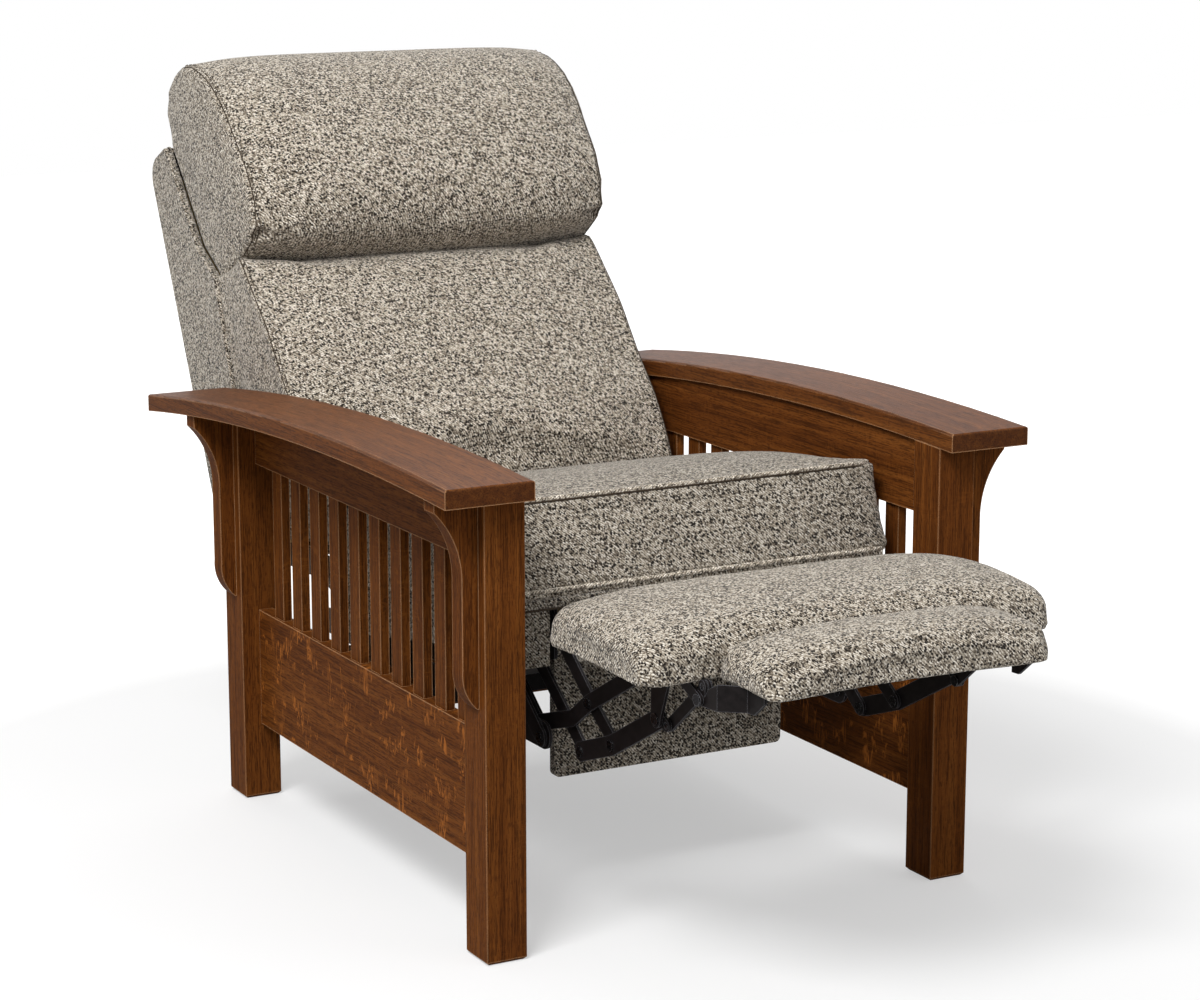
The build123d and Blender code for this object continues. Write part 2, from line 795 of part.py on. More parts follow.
def footrest():
    """Boards, pads, brackets and links of the footrest and its flipper."""
    main_pad, main_board = pad(
        ottoman_rear, ottoman_depth, ottoman_underside, pad_thickness,
        [pocket_trim, pad_crown / 2, pad_crown, over], ottoman_half_width,
    )
    flipper_rear = ottoman_rear - ottoman_depth - flipper_gap
    small_pad, small_board = pad(
        flipper_rear, flipper_depth, flipper_underside, flipper_thickness,
        [pocket_trim, over, flipper_crown, flipper_crown / 2], flipper_half_width,
    )
    pieces = {
        "footrest_board": main_board,
        "footrest_pad": main_pad,
        "flipper_board": small_board,
        "flipper_pad": small_pad,
        "footrest_brackets": ottoman_bracket(),
        "flipper_brackets": flipper_bracket(),
        "flipper_control_links": control_link(),
    }
    pieces.update(linkage())
    return pieces


def pins():
    """Rivets, grouped by the piece that carries them."""
    fold = [pin(p, inner_plate_x, link_x + plate) for p in (fold_pivot, rear_fold_pivot)]
    lift = [pin(p, lift_x, outer_plate_x + plate, True, False) for p in (lift_seat_front, lift_seat_rear)]
    hinge = pin(back_pivot, outer_plate_x, wood_x + layer_step, True, True)
    front = [pin(p, link_x, coupler_x + plate, True, True) for p in (upper_knee, knee)]
    rear = pin(rear_knee, link_x, coupler_x + plate, True, True)
    crank = pin(crank_knee, link_x, coupler_x + plate, True, True)
    lower = pin(control_low, link_x, coupler_x + plate, True, False)
    bracket = [pin(p, coupler_x, bracket_x + plate) for p in (ottoman_upper, ottoman_lower, flipper_hinge)]
    flipper = pin(control_high, link_x, coupler_x + plate, True, False)
    groups = {
        "seat_pivot_pins": [*fold, *lift, hinge],
        "front_link_pins": front,
        "rear_link_pins": [rear],
        "crank_pins": [crank],
        "lower_link_pins": [lower],
        "bracket_pins": bracket,
        "flipper_pins": [flipper],
    }
    return {
        name: Compound(children=[s for p in group for s in both(p).solids()])
        for name, group in groups.items()
    }


def drop_panel_pieces():
    """The fabric-covered panel that hangs behind the linkage, its hinge and the rail above it."""
    half = panel_thickness / 2
    face = RectangleRounded(panel_half_width * 2, panel_top - panel_bottom, panel_corner)
    middle = (panel_top + panel_bottom) / 2
    plane = Plane(origin=(0, panel_y - half, middle), x_dir=(1, 0, 0), z_dir=(0, 1, 0))
    panel = extrude(plane * face, panel_thickness, dir=(0, 1, 0))
    square_top = block(
        -panel_half_width, panel_half_width, panel_y - half, panel_y + half,
        panel_top - panel_square_top, panel_top - hinge_radius - pin_clearance,
    )
    keep = block(
        -panel_half_width, panel_half_width, panel_y - half, panel_y + half,
        panel_bottom, panel_top - hinge_radius - pin_clearance,
    )
    panel = (panel + square_top) & keep
    barrel = side_solid(Pos(panel_y, panel_top) * Circle(hinge_radius), -panel_half_width, panel_half_width)
    rail_low = panel_top + hinge_radius + panel_swing_gap
    rail = block(
        -inner_plate_x, inner_plate_x, panel_y - half - panel_rail_depth / 2, panel_y + half,
        rail_low, rail_low + panel_rail_height,
    )
    return {"drop_panel": panel, "panel_hinge": barrel}, rail


def back_point(up, forward):
    """A point measured up the rear face of the back and forward from that face."""
    lean = math.radians(back_lean)
    y = back_bottom_y + up * math.sin(lean) - forward * math.cos(lean)
    z = back_bottom_height + up * math.cos(lean) + forward * math.sin(lean)
    return (y, z)


def back_front(up):
    """Depth of the back frame at a height up its rear face."""
    steps = [
        (0, back_bottom_depth), (back_seat_height, back_seat_depth),
        (back_pillow_height, back_pillow_depth), (back_height, back_top_depth),
    ]
    for (low, near), (high, far) in zip(steps, steps[1:]):
        if up <= high:
            return near + (far - near) * (up - low) / (high - low)
    return back_top_depth


def back_outline(margin):
    """Side profile of the upholstered back frame, drawn in by the margin at its rear and top."""
    top = back_height - margin
    points = [
        back_point(0, margin), back_point(top, margin),
        back_point(top, back_front(top)), back_point(back_pillow_height, back_pillow_depth),
        back_point(back_seat_height, back_seat_depth), back_point(0, back_bottom_depth),
    ]
    return rounded_polygon(points, [0, max(back_top_radius - margin, over), 0, 0, 0, 0])


def back_frame():
    """Side panels, curved rear cover, posts and rails of the back."""
    inside = back_half_width - back_panel
    panel = side_solid(back_outline(0), inside, back_half_width)
    hollow = back_outline(back_cover)
    cover = side_solid(back_outline(0), -inside, inside)
    cover -= side_solid(hollow, -inside, inside)
    post_top = back_height - back_top_radius - back_cover
    post_face = polygon([
        back_point(0, back_cover), back_point(post_top, back_cover),
        back_point(post_top, back_front(post_top)),
        back_point(back_pillow_height, back_pillow_depth),
        back_point(back_seat_height, back_seat_depth), back_point(0, back_bottom_depth),
    ])
    post_x = wood_x + layer_step
    post = side_solid(post_face, post_x, post_x + back_post)
    rails = []
    for low in (back_rail_lift, back_seat_height - back_rail_height, post_top - back_rail_height):
        high = low + back_rail_height
        rail_face = polygon([
            back_point(low, back_front(low)), back_point(high, back_front(high)),
            back_point(high, back_front(high) - back_post), back_point(low, back_front(low) - back_post),
        ])
        rails.append(side_solid(rail_face, -post_x, post_x))
    elbow = back_point(0, back_bracket_forward)
    bracket_end = back_point(back_bracket_reach, back_bracket_forward)
    bracket_face = bar_face([back_pivot, elbow, bracket_end], back_bracket_width)
    bracket_face -= Pos(*back_pivot) * Circle(pin_radius + pin_clearance)
    bracket = side_solid(bracket_face, wood_x + layer_step - plate, wood_x + layer_step)
    return {
        "back_side_panels": both(panel),
        "back_rear_cover": cover,
        "back_posts": both(post),
        "back_rails": Compound(children=rails),
        "back_brackets": both(bracket),
    }


def back_cushion():
    """The back cushion: thick at the lumbar, standing behind the seat cushion, and thinner at its top."""
    seat_rear = seat_point(cushion_length, cushion_thickness)[0] + cushion_rear_clearance
    back_cushion_bottom_depth = (back_bottom_y - seat_rear) / math.cos(math.radians(back_lean))
    corners = [
        back_point(0, back_cushion_bottom_depth), back_point(0, back_front(0) + seat_gap),
        back_point(back_cushion_height, back_front(back_cushion_height) + seat_gap),
        back_point(back_cushion_height, back_cushion_top_depth),
    ]
    bows = [0, 0, over, cushion_crown]
    return soft_block(corners, bows, back_corner_share, cushion_half_width, cushion_side_draw)


def head_cushion():
    """The big rolled head cushion, from arcs, resting on the back cushion and over the frame's top."""
    low = back_cushion_height + pillow_gap
    rear_top = back_height + pillow_top_gap
    up_shares = (0.0, 0.04, 0.21, 0.52, 0.80, 0.95, 1.0, 0.96, 0.83)
    front_share = (0.42, 0.86, 1.0, 0.94, 0.81, 0.61, 0.41, 0.24, 0.18)
    height = pillow_top - low
    points = [(low + height * u, pillow_front * w) for u, w in zip(up_shares, front_share)]
    seat = pillow_rear_gap
    tail = [
        (rear_top, back_top_depth - back_cover), (rear_top, back_top_depth + seat),
        (back_pillow_height + soft_gap, back_pillow_depth + seat),
        (back_seat_height + soft_gap, back_seat_depth + seat), (low, back_front(low) + seat),
    ]
    centre = (sum(p[0] for p in points) / len(points), sum(p[1] for p in points) / len(points))

    def section(share):
        def at(point):
            return back_point(*(c + (p - c) * share for p, c in zip(point, centre)))
        edges = Line(at(tail[-1]), at(points[1])).edges()
        edges += ThreePointArc(at(points[1]), at(points[2]), at(points[3])).edges()
        edges += ThreePointArc(at(points[3]), at(points[4]), at(points[5])).edges()
        edges += ThreePointArc(at(points[5]), at(points[6]), at(points[7])).edges()
        edges += Polyline(at(points[7]), *[at(point) for point in tail]).edges()
        return make_face(Wire(edges))

    stations = across_chair(draw_in_shares)
    sections = []
    for across, inset in stations:
        sections.append(side_plane(pillow_half_width * across) * section(1 - pillow_draw_share * inset))
    return loft(sections, ruled=True)


def build():
    """All pieces by name, in the frame of the front legs."""
    pieces = {}
    for name, shape in side_frame().items():
        pieces["right_" + name] = shape
        pieces["left_" + name] = mirror(shape, about=Plane.YZ)
    pieces.update(base_pieces())
    pieces.update(lift_pieces())
    pieces.update(seat_frame())
    pieces["seat_inner_plates"] = inner_plate()
    pieces["seat_outer_plates"] = outer_plate()
    pieces["seat_cushion"] = seat_cushion()
    pieces.update(footrest())
    panel_set, panel_rail = drop_panel_pieces()
    pieces.update(panel_set)
    pieces["seat_cross_rails"] = Compound(children=[*pieces["seat_cross_rails"].solids(), panel_rail])
    pieces.update(back_frame())
    pieces["back_cushion"] = back_cushion()
    pieces["head_cushion"] = head_cushion()
    pieces.update(pins())
    return pieces


if __name__ == "__main__":
    pieces = build()
    box = Compound(children=[s for shape in pieces.values() for s in shape.solids()]).bounding_box()
    shift_y = -(box.min.Y + box.max.Y) / 2
    print("shift_y", round(shift_y, 3), "box", box.size, "low", box.min.Z)
    for name, shape in pieces.items():
        solids = [Pos(0, shift_y, 0) * s for s in shape.solids()]
        export_step(Compound(children=solids), "parts/" + name + ".step")
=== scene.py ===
# %% [markdown]
# # A bow-arm recliner, dressed in Blender
# The chair's hard pieces come in as finished meshes, in metres, and stay where they are. This
# lesson gives them oak, steel and plywood, and makes the upholstery again as padded cloth.
# We start by loading the frame.

# %% Load the frame
import math

import bmesh
import bpy
import numpy as np
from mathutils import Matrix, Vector
from mathutils.bvhtree import BVHTree


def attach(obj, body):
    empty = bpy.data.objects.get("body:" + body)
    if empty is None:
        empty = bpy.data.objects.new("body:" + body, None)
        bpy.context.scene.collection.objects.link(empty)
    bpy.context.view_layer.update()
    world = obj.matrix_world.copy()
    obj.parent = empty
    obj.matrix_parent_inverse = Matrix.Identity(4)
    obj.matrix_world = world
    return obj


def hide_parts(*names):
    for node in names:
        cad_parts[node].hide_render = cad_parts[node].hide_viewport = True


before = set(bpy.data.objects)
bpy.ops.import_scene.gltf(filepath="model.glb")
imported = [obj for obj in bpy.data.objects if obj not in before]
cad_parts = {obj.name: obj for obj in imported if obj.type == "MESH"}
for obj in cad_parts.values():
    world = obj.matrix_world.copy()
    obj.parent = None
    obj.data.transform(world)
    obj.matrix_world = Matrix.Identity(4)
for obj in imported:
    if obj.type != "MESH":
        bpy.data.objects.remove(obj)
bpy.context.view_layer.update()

# %% [markdown]
# ## Measuring in the chair's own words
# The chair was measured in millimetres from the front face of its front legs and from the
# floor. The back leans, so points on it are given up its rear face and forward from that face.
# The seat slopes down to the rear, so points on it are given along and square to its deck.

# %% Places on the chair
front_face = -0.43658
back_lean = math.radians(25.5)
seat_slope = math.radians(9.9)
back_foot = (1010.0, 304.0)
seat_foot = (99.0, 451.0)


def place(y, z):
    """Y and Z in metres in the frame, from millimetres behind the front legs and above the floor."""
    return np.stack(np.broadcast_arrays(np.asarray(y) / 1000 + front_face, np.asarray(z) / 1000), -1)


def on_back(up, out):
    """A point of the back: the foot of the rear face, plus up along the face, plus out square to it."""
    up, out = np.asarray(up, float), np.asarray(out, float)
    y = back_foot[0] + up * math.sin(back_lean) - out * math.cos(back_lean)
    z = back_foot[1] + up * math.cos(back_lean) + out * math.sin(back_lean)
    return place(y, z)


def on_seat(along, up):
    """A point of the seat: the deck's front edge, plus along back down the slope, plus up square
    to it."""
    along, up = np.asarray(along, float), np.asarray(up, float)
    y = seat_foot[0] + along * math.cos(seat_slope) + up * math.sin(seat_slope)
    z = seat_foot[1] - along * math.sin(seat_slope) + up * math.cos(seat_slope)
    return place(y, z)


print("foot of the back", on_back(0, 0).round(4), "front of the deck", on_seat(0, 0).round(4))

# %% [markdown]
# ## The camera
# The view was found by matching the legs, rails and arms to the photograph. It stands in front
# of the chair's right-hand side, looks a little down, and needs no shift.

# %% Camera
picture_width, focal_pixels = 1200.0, 3063.26
look_down, look_right = 12.055, 28.791
camera_data = bpy.data.cameras.new("camera")
camera = bpy.data.objects.new("camera", camera_data)
bpy.context.scene.collection.objects.link(camera)
bpy.context.scene.camera = camera
camera_data.sensor_width = 36.0
camera_data.sensor_fit = "HORIZONTAL"
camera_data.lens = focal_pixels * camera_data.sensor_width / picture_width
camera_data.clip_start, camera_data.clip_end = 0.1, 60.0
camera.location = (-2.00901, -3.28274 + front_face, 1.38735)
camera.rotation_euler = (math.radians(90 - look_down), 0.0, math.radians(-look_right))
print("lens", round(camera_data.lens, 2), "mm")

# %% [markdown]
# ## Colour
# Colours are written as the eye sees them, in sRGB hex. One function turns them to the linear
# values that light needs.


# %% Colour from hex
def linear(code):
    """Linear colour from an sRGB hex code: each channel is undone from its gamma curve."""
    channels = np.array([int(code[i:i + 2], 16) / 255 for i in (1, 3, 5)])
    low, high = channels / 12.92, ((channels + 0.055) / 1.055) ** 2.4
    return (*np.where(channels <= 0.04045, low, high), 1.0)


print("middle grey", np.round(linear("#bababa"), 3))

# %% [markdown]
# ## Nodes
# A material is a tree of shader nodes. One function adds a node of any kind, with its settings,
# its inputs and, for a colour ramp, its stops, and hands back the output that comes next.


# %% Add a node
def add(tree, kind, inputs=(), out=0, stops=(), **settings):
    """Adds a node and gives back one of its outputs. Inputs are a list in the node's own order, or
    a dict by name or number. Each is linked if it is another node's output, and set if not."""
    made = tree.nodes.new("ShaderNode" + kind)
    for name, value in settings.items():
        setattr(made, name, value)
    for name, value in dict(inputs if isinstance(inputs, dict) else enumerate(inputs)).items():
        if isinstance(value, bpy.types.NodeSocket):
            tree.links.new(value, made.inputs[name])
        else:
            made.inputs[name].default_value = value
    if stops:
        elements = made.color_ramp.elements
        while len(elements) < len(stops):
            elements.new(0.5)
        for element, (position, code) in zip(elements, stops):
            element.position = position
            element.color = linear(code)
    return made.outputs[out]


smooth = {"interpolation_type": "SMOOTHSTEP"}
colours = {"data_type": "RGBA"}
print("settings used again", smooth, colours)

# %% [markdown]
# Patterns are set in millimetres and in the piece's own coordinates, so that they move with it.
# Edges are found from the normals, which a bevel node rounds; there the oak is rubbed paler, and oak
# and steel get a painted highlight.


# %% Materials and their coordinates
def new_material(name):
    """A material with a surface shader, and its node tree."""
    made = bpy.data.materials.new(name)
    made.use_nodes = True
    tree = made.node_tree
    return made, tree, tree.nodes["Principled BSDF"]


def object_mm(tree, turn=(0.0, 0.0, 0.0), size=(1.0, 1.0, 1.0)):
    """The piece's own coordinates in millimetres, turned, then divided by a size along each axis."""
    own = add(tree, "TexCoord", out="Object")
    turned = add(tree, "Mapping", {0: own, "Rotation": turn})
    return add(tree, "Mapping", {0: turned, "Scale": tuple(1000.0 / s for s in size)})


def edge_share(tree, radius_mm):
    """How far the surface is from flat within a small radius: 0 on a face, 1 at an arris. There the
    normal rounded over the radius parts from the true one, and their dot product falls below 1."""
    rounded = add(tree, "Bevel", {"Radius": radius_mm / 1000}, samples=4)
    true = add(tree, "NewGeometry", out="Normal")
    dot = add(tree, "VectorMath", [rounded, true], "Value", operation="DOT_PRODUCT")
    return add(tree, "MapRange", [dot, 0.86, 0.995, 1.0, 0.0], **smooth)


print("materials so far", len(bpy.data.materials))

# %% [markdown]
# ## Stained oak
# The frame is quartersawn white oak, planed, wiped with a dark brown stain and sprayed with a
# satin lacquer. What the eye sees is a dark red-brown ground, fine darker lines along the grain
# where the stain sank into the pores, and on the wide faces the ray flecks: short orange
# ribbons that wander across the grain. Grain runs along each board, so there is one material
# for each direction. Sizes are millimetres along and across the grain. Real pores are 0.3 mm
# wide, too fine to show in a picture of a whole chair, so they are drawn 1.5 to 1.9 mm wide.

# %% Colour of the oak
board_band, growth_ring, pore, dash = (700, 60), (600, 9), (60, 1.9), (11, 1.5)
ray_width, ray_patch = (20, 75), (38, 38)


def oak_colour(tree, along, flecks):
    """The stained wood without its end grain, and its growth, pores and share of pore colour. A ray
    is a ribbon where a twisted noise field passes 0.5, kept only inside patches of a second one."""
    fields = []
    for sizes, detail, roughness, distortion in (
            (board_band, 2.0, 0.5, 0.3), (growth_ring, 3.0, 0.6, 0.25), (pore, 3.0, 0.6, 0.0),
            (dash, 2.0, 0.5, 0.0), (ray_width, 2.0, 0.55, 2.2), (ray_patch, 2.0, 0.6, 0.0)):
        size = [sizes[0] if axis == along else sizes[1] for axis in range(3)]
        fields.append(add(tree, "TexNoise", {
            "Vector": object_mm(tree, size=size), "Scale": 1.0, "Detail": detail,
            "Roughness": roughness, "Distortion": distortion}))
    broad, growth, pores, dashes, twisted, patches = fields
    ground = add(tree, "ValToRGB", [broad], stops=[
        (0.28, "#552d12"), (0.5, "#673916"), (0.74, "#79461d")])
    ring_tone = add(tree, "ValToRGB", [growth], stops=[
        (0.32, "#4f2a10"), (0.5, "#6b3c18"), (0.68, "#834f22")])
    wood = add(tree, "Mix", {0: 0.55, 6: ground, 7: ring_tone}, 2, **colours)
    pore_share = add(tree, "MapRange", [pores, 0.48, 0.62, 0.0, 0.6], **smooth)
    wood = add(tree, "Mix", {0: pore_share, 6: wood, 7: linear("#2c160a")}, 2, **colours)
    dash_share = add(tree, "MapRange", [dashes, 0.52, 0.62, 0.0, 0.5], **smooth)
    wood = add(tree, "Mix", {0: dash_share, 6: wood, 7: linear("#361c0d")}, 2, **colours)
    off_middle = add(tree, "Math", [twisted, 0.5], operation="SUBTRACT")
    off_middle = add(tree, "Math", [off_middle], operation="ABSOLUTE")
    ribbon = add(tree, "MapRange", [off_middle, 0.012, 0.042, 1.0, 0.0], **smooth)
    patch = add(tree, "MapRange", [patches, 0.50, 0.60, 0.0, flecks], **smooth)
    ray = add(tree, "Math", [ribbon, patch], operation="MULTIPLY")
    wood = add(tree, "Mix", {0: ray, 6: wood, 7: linear("#a5622a")}, 2, **colours)
    return wood, growth, pores, pore_share


print("pores drawn", pore[1], "and", dash[1], "mm wide")

# %% [markdown]
# End grain drinks more stain and is darker. The arrises are rubbed back to paler wood, and the
# pale colour there is also a painted highlight along each edge. The pores stay a little below
# the lacquer, which a bump gives, and are less shiny than the rest.


# %% Oak
def oak(name, along, flecks, light=1.0, gloss=0.02):
    """Oak with its grain along the axis numbered by along, and ray flecks and gloss to the shares
    given. An end is where the normal runs along the grain."""
    made, tree, surface = new_material(name)
    wood, growth, pores, pore_share = oak_colour(tree, along, flecks)
    normal = add(tree, "SeparateXYZ", [add(tree, "TexCoord", out="Normal")], along)
    end = add(tree, "Math", [normal], operation="ABSOLUTE")
    end_share = add(tree, "MapRange", [end, 0.75, 0.95, 0.0, 0.45], **smooth)
    wood = add(tree, "Mix", {0: end_share, 6: wood, 7: linear("#2f180c")}, 2, **colours)
    # The pale arrises are partly rubbed wood and partly a painted highlight.
    edge_wear_and_highlight = add(tree, "Math", [edge_share(tree, 2.4), 0.8], operation="MULTIPLY")
    wood = add(tree, "Mix", {0: edge_wear_and_highlight, 6: wood, 7: linear("#cf9f73")}, 2, **colours)
    stained = add(tree, "HueSaturation", {"Value": light, "Color": wood})
    tree.links.new(stained, surface.inputs["Base Color"])
    dull = add(tree, "Math", [pores, 0.16, 0.34], operation="MULTIPLY_ADD")
    tree.links.new(dull, surface.inputs["Roughness"])
    surface.inputs["Specular IOR Level"].default_value = gloss
    height = add(tree, "Math", [growth, 0.25], operation="MULTIPLY")
    height = add(tree, "Math", [height, pore_share], operation="SUBTRACT")
    bump = add(tree, "Bump", {"Strength": 0.35, "Distance": 0.0004, "Height": height})
    tree.links.new(bump, surface.inputs["Normal"])
    return made


oak_upright = oak("oak_grain_upright", 2, 0.06)
oak_lengthwise = oak("oak_grain_lengthwise", 1, 0.1)
oak_arm = oak("oak_arm_top", 1, 0.1, 0.95, 0.08)
oak_flecked = oak("oak_quartersawn", 1, 0.9)
oak_crosswise = oak("oak_grain_crosswise", 0, 0.3, 0.9)
oak_slats = oak("oak_slats", 2, 0.15, 0.95)
print("oak materials", sum(material.name.startswith("oak") for material in bpy.data.materials))

# %% [markdown]
# ## Tweed
# The cover is a heavy tweed: a twill of cream, taupe and brown yarns about 1.7 mm apart, with
# near-black slubs scattered over it, each up to 3 mm long. We cut space into uneven cells of
# each size. The small cells give every yarn its own shade. A wave across them draws the slanting
# lines of the twill, 3 mm apart, which on the real cloth are nearer and would not show here.

# %% Yarns of the tweed
yarn, slub = 1.7, 3.1
twill_line = yarn * 1.8


def yarn_colour(tree, turn):
    """The cloth without its slubs, the cells of its yarns, and the wave of its twill: the sine of the
    distance up the cloth, made uneven by a slow noise."""
    cells = object_mm(tree, turn, (yarn * 1.6, yarn, yarn))
    threads = add(tree, "TexVoronoi", {"Vector": cells, "Scale": 1.0, "Randomness": 0.85}).node.outputs
    shade = add(tree, "SeparateColor", [threads["Color"]])
    colour = add(tree, "ValToRGB", [shade], stops=[
        (0.0, "#3a3128"), (0.25, "#83786a"), (0.5, "#bdb2a0"), (0.75, "#ddd4c5"), (1.0, "#faf3e7")])
    split = add(tree, "SeparateXYZ", [object_mm(tree, turn)]).node.outputs
    slant = add(tree, "Math", [split[1], 0.6, split[2]], operation="MULTIPLY_ADD")
    slow = object_mm(tree, turn, (9, 9, 9))
    sway = add(tree, "TexNoise", {"Vector": slow, "Scale": 1.0, "Detail": 2.0, "Roughness": 0.5})
    slant = add(tree, "Math", [sway, 3.0, slant], operation="MULTIPLY_ADD")
    turns = add(tree, "Math", [slant, 2 * math.pi / twill_line], operation="MULTIPLY")
    wave = add(tree, "Math", [turns], operation="SINE")
    height = add(tree, "Math", [wave, 0.5, 0.5], operation="MULTIPLY_ADD")
    twill = add(tree, "ValToRGB", [height], stops=[(0.15, "#8d8376"), (0.6, "#ffffff")])
    colour = add(tree, "Mix", {0: 0.7, 6: colour, 7: twill}, 2, blend_type="MULTIPLY", **colours)
    return colour, threads, wave


print("twill lines", round(twill_line, 2), "mm apart")

# %% [markdown]
# Of the large cells about one in three holds a dark slub in its middle, and a slow cloud makes
# them gather in some places. Each yarn stands proud, which a bump gives. Cloth scatters light
# at its edge, so it has a little sheen and hardly any gloss.


# %% Slubs, and the whole tweed
def slub_share(tree, turn, specks):
    """Where a slub lies: near the middle of a large cell, if the cell's chance is low enough."""
    slow = object_mm(tree, turn, (26, 22, 24))
    cloud = add(tree, "TexNoise", {"Vector": slow, "Scale": 1.0, "Detail": 3.0, "Roughness": 0.6})
    cells = object_mm(tree, turn, (slub * 1.25, slub, slub))
    slubs = add(tree, "TexVoronoi", {"Vector": cells, "Scale": 1.0, "Randomness": 0.9}).node.outputs
    gathered = add(tree, "Math", [cloud, 0.3, -0.15], operation="MULTIPLY_ADD")
    own = add(tree, "SeparateColor", [slubs["Color"]], 1)
    chance = add(tree, "Math", [own, gathered], operation="ADD")
    chosen = add(tree, "MapRange", [chance, 0.35, 0.38, 1.0, 0.0], **smooth)
    middle = add(tree, "MapRange", [slubs["Distance"], 0.46, 0.54, specks, 0.0], **smooth)
    return add(tree, "Math", [chosen, middle], operation="MULTIPLY")


def tweed(name, turn, shade=1.0, specks=0.97):
    """Salt-and-pepper tweed whose twill follows axes turned by the angles given. Its colour is
    scaled by shade: below 1 that is painted shade, above 1 a painted highlight.
    """
    made, tree, surface = new_material(name)
    colour, threads, wave = yarn_colour(tree, turn)
    dark = slub_share(tree, turn, specks)
    colour = add(tree, "Mix", {0: dark, 6: colour, 7: linear("#140e09")}, 2, **colours)
    painted_light_colour = add(tree, "HueSaturation", {"Value": shade, "Color": colour})
    tree.links.new(painted_light_colour, surface.inputs["Base Color"])
    for socket, value in (("Roughness", 0.92), ("Specular IOR Level", 0.2),
                          ("Sheen Weight", 0.15), ("Sheen Roughness", 0.5)):
        surface.inputs[socket].default_value = value
    rise = add(tree, "Math", [1.0, threads["Distance"]], operation="SUBTRACT")
    height = add(tree, "Math", [wave, 0.3, rise], operation="MULTIPLY_ADD")
    bump = add(tree, "Bump", {"Strength": 0.6, "Distance": 0.0009, "Height": height})
    tree.links.new(bump, surface.inputs["Normal"])
    return made


print("slub cells", slub, "mm wide")

# %% [markdown]
# Each part of the cover is cut to its own lie: the twill slants by an eighth of a turn on a
# face that leans as the back or the seat does. Some copies are painted darker as shade: the
# seat cushion by a fifth, the pads and plain panels a little, and cloth lying in shade under
# the seat and footrest by more than a third.

# %% The tweeds
twill_turn = -math.pi / 4
tweed_seat_painted_shade = tweed("tweed_seat_painted_shade", (seat_slope, twill_turn, 0.0), 0.79)
tweed_back = tweed("tweed_back", (back_lean, twill_turn, 0.0))
tweed_head = tweed("tweed_head", (back_lean - 0.3, twill_turn, 0.1))
tweed_flat_painted_shade = tweed("tweed_flat_painted_shade", (0.1, twill_turn, 0.0), 0.93)
tweed_plain_painted_shade = tweed("tweed_plain_painted_shade", (back_lean, twill_turn, 0.0), 0.95)
# The welt's copy is painted lighter, a painted highlight on the round cord, and has fewer slubs.
tweed_welt_painted_highlight = tweed("tweed_welt_painted_highlight", (0.2, 0.9, 0.4), 1.15, 0.4)
tweed_under_painted_shade = tweed("tweed_under_painted_shade", (0.0, twill_turn, 0.0), 0.63)
print("tweed materials", sum(material.name.startswith("tweed") for material in bpy.data.materials))

# %% [markdown]
# ## Steel, board and thread
# The mechanism is pressed steel strip with a semi-gloss black electrophoretic coat, painted
# light grey along its edges and bends, a painted highlight. Its rivets are blackened too, with a
# painted highlight ring. The footrest boards are birch plywood, and the rails inside are sawn
# poplar. The stitching is a dark polyester thread.


# %% Other materials
def plain(name, shades, size, roughness, metallic, relief, edge_wear_and_highlight="", gloss=0.3):
    """A finish whose shade, roughness and height wander over a size in millimetres, brighter at
    the edges when an edge colour is given, a painted highlight."""
    made, tree, surface = new_material(name)
    spots = object_mm(tree, size=size)
    field = add(tree, "TexNoise", {"Vector": spots, "Scale": 1.0, "Detail": 4.0, "Roughness": 0.6})
    tone = add(tree, "ValToRGB", [field], stops=[(0.3, shades[0]), (0.7, shades[1])])
    if edge_wear_and_highlight:
        edge_highlight_share = add(tree, "Math", [edge_share(tree, 1.2), 0.6], operation="MULTIPLY")
        tone = add(tree, "Mix", {0: edge_highlight_share, 6: tone, 7: linear(edge_wear_and_highlight)}, 2, **colours)
    tree.links.new(tone, surface.inputs["Base Color"])
    surface.inputs["Metallic"].default_value = metallic
    surface.inputs["Specular IOR Level"].default_value = gloss
    dull = add(tree, "Math", [field, 0.16, roughness - 0.08], operation="MULTIPLY_ADD")
    tree.links.new(dull, surface.inputs["Roughness"])
    bump = add(tree, "Bump", {"Strength": 0.3, "Distance": relief / 1000, "Height": field})
    tree.links.new(bump, surface.inputs["Normal"])
    return made


# The light grey at the steel's edges and the pale ring at each rivet are painted highlights.
black_steel = plain(
    "black_coated_steel", ("#120f0f", "#1f1b1b"), (9, 9, 9), 0.34, 0.0, 0.15, "#8a8a90", 0.12)
rivet_steel = plain("blackened_rivet", ("#1b1b1d", "#3a3a3e"), (3, 3, 3), 0.26, 0.9, 0.1, "#c9cacd")
plywood = plain("birch_plywood", ("#a98757", "#c9a877"), (90, 3, 3), 0.6, 0.0, 0.3)
frame_wood = plain("sawn_poplar", ("#a58a5c", "#c5ad80"), (4, 120, 4), 0.7, 0.0, 0.4)
thread = plain("polyester_thread", ("#2f261d", "#54493b"), (1.2, 1.2, 1.2), 0.6, 0.0, 0.1)
# Dark cords laid in folds and beside seams are painted shadow: a dark cloth put where there is only
# shade.
painted_shadow_cloth = plain("tweed_in_a_fold", ("#2a2119", "#4a3f33"), (2.5, 2.5, 2.5), 0.95, 0.0, 0.2)
print("materials", len(bpy.data.materials))

# %% [markdown]
# ## Finishing the frame's own pieces
# Each wooden piece takes the oak whose grain runs its way. Covered boards and panels take the
# tweed, and steel links and plates take the black coat.


# %% Give each piece its finish
covered = ("seat_side_rails", "seat_deck", "back_side_panels", "back_rear_cover")


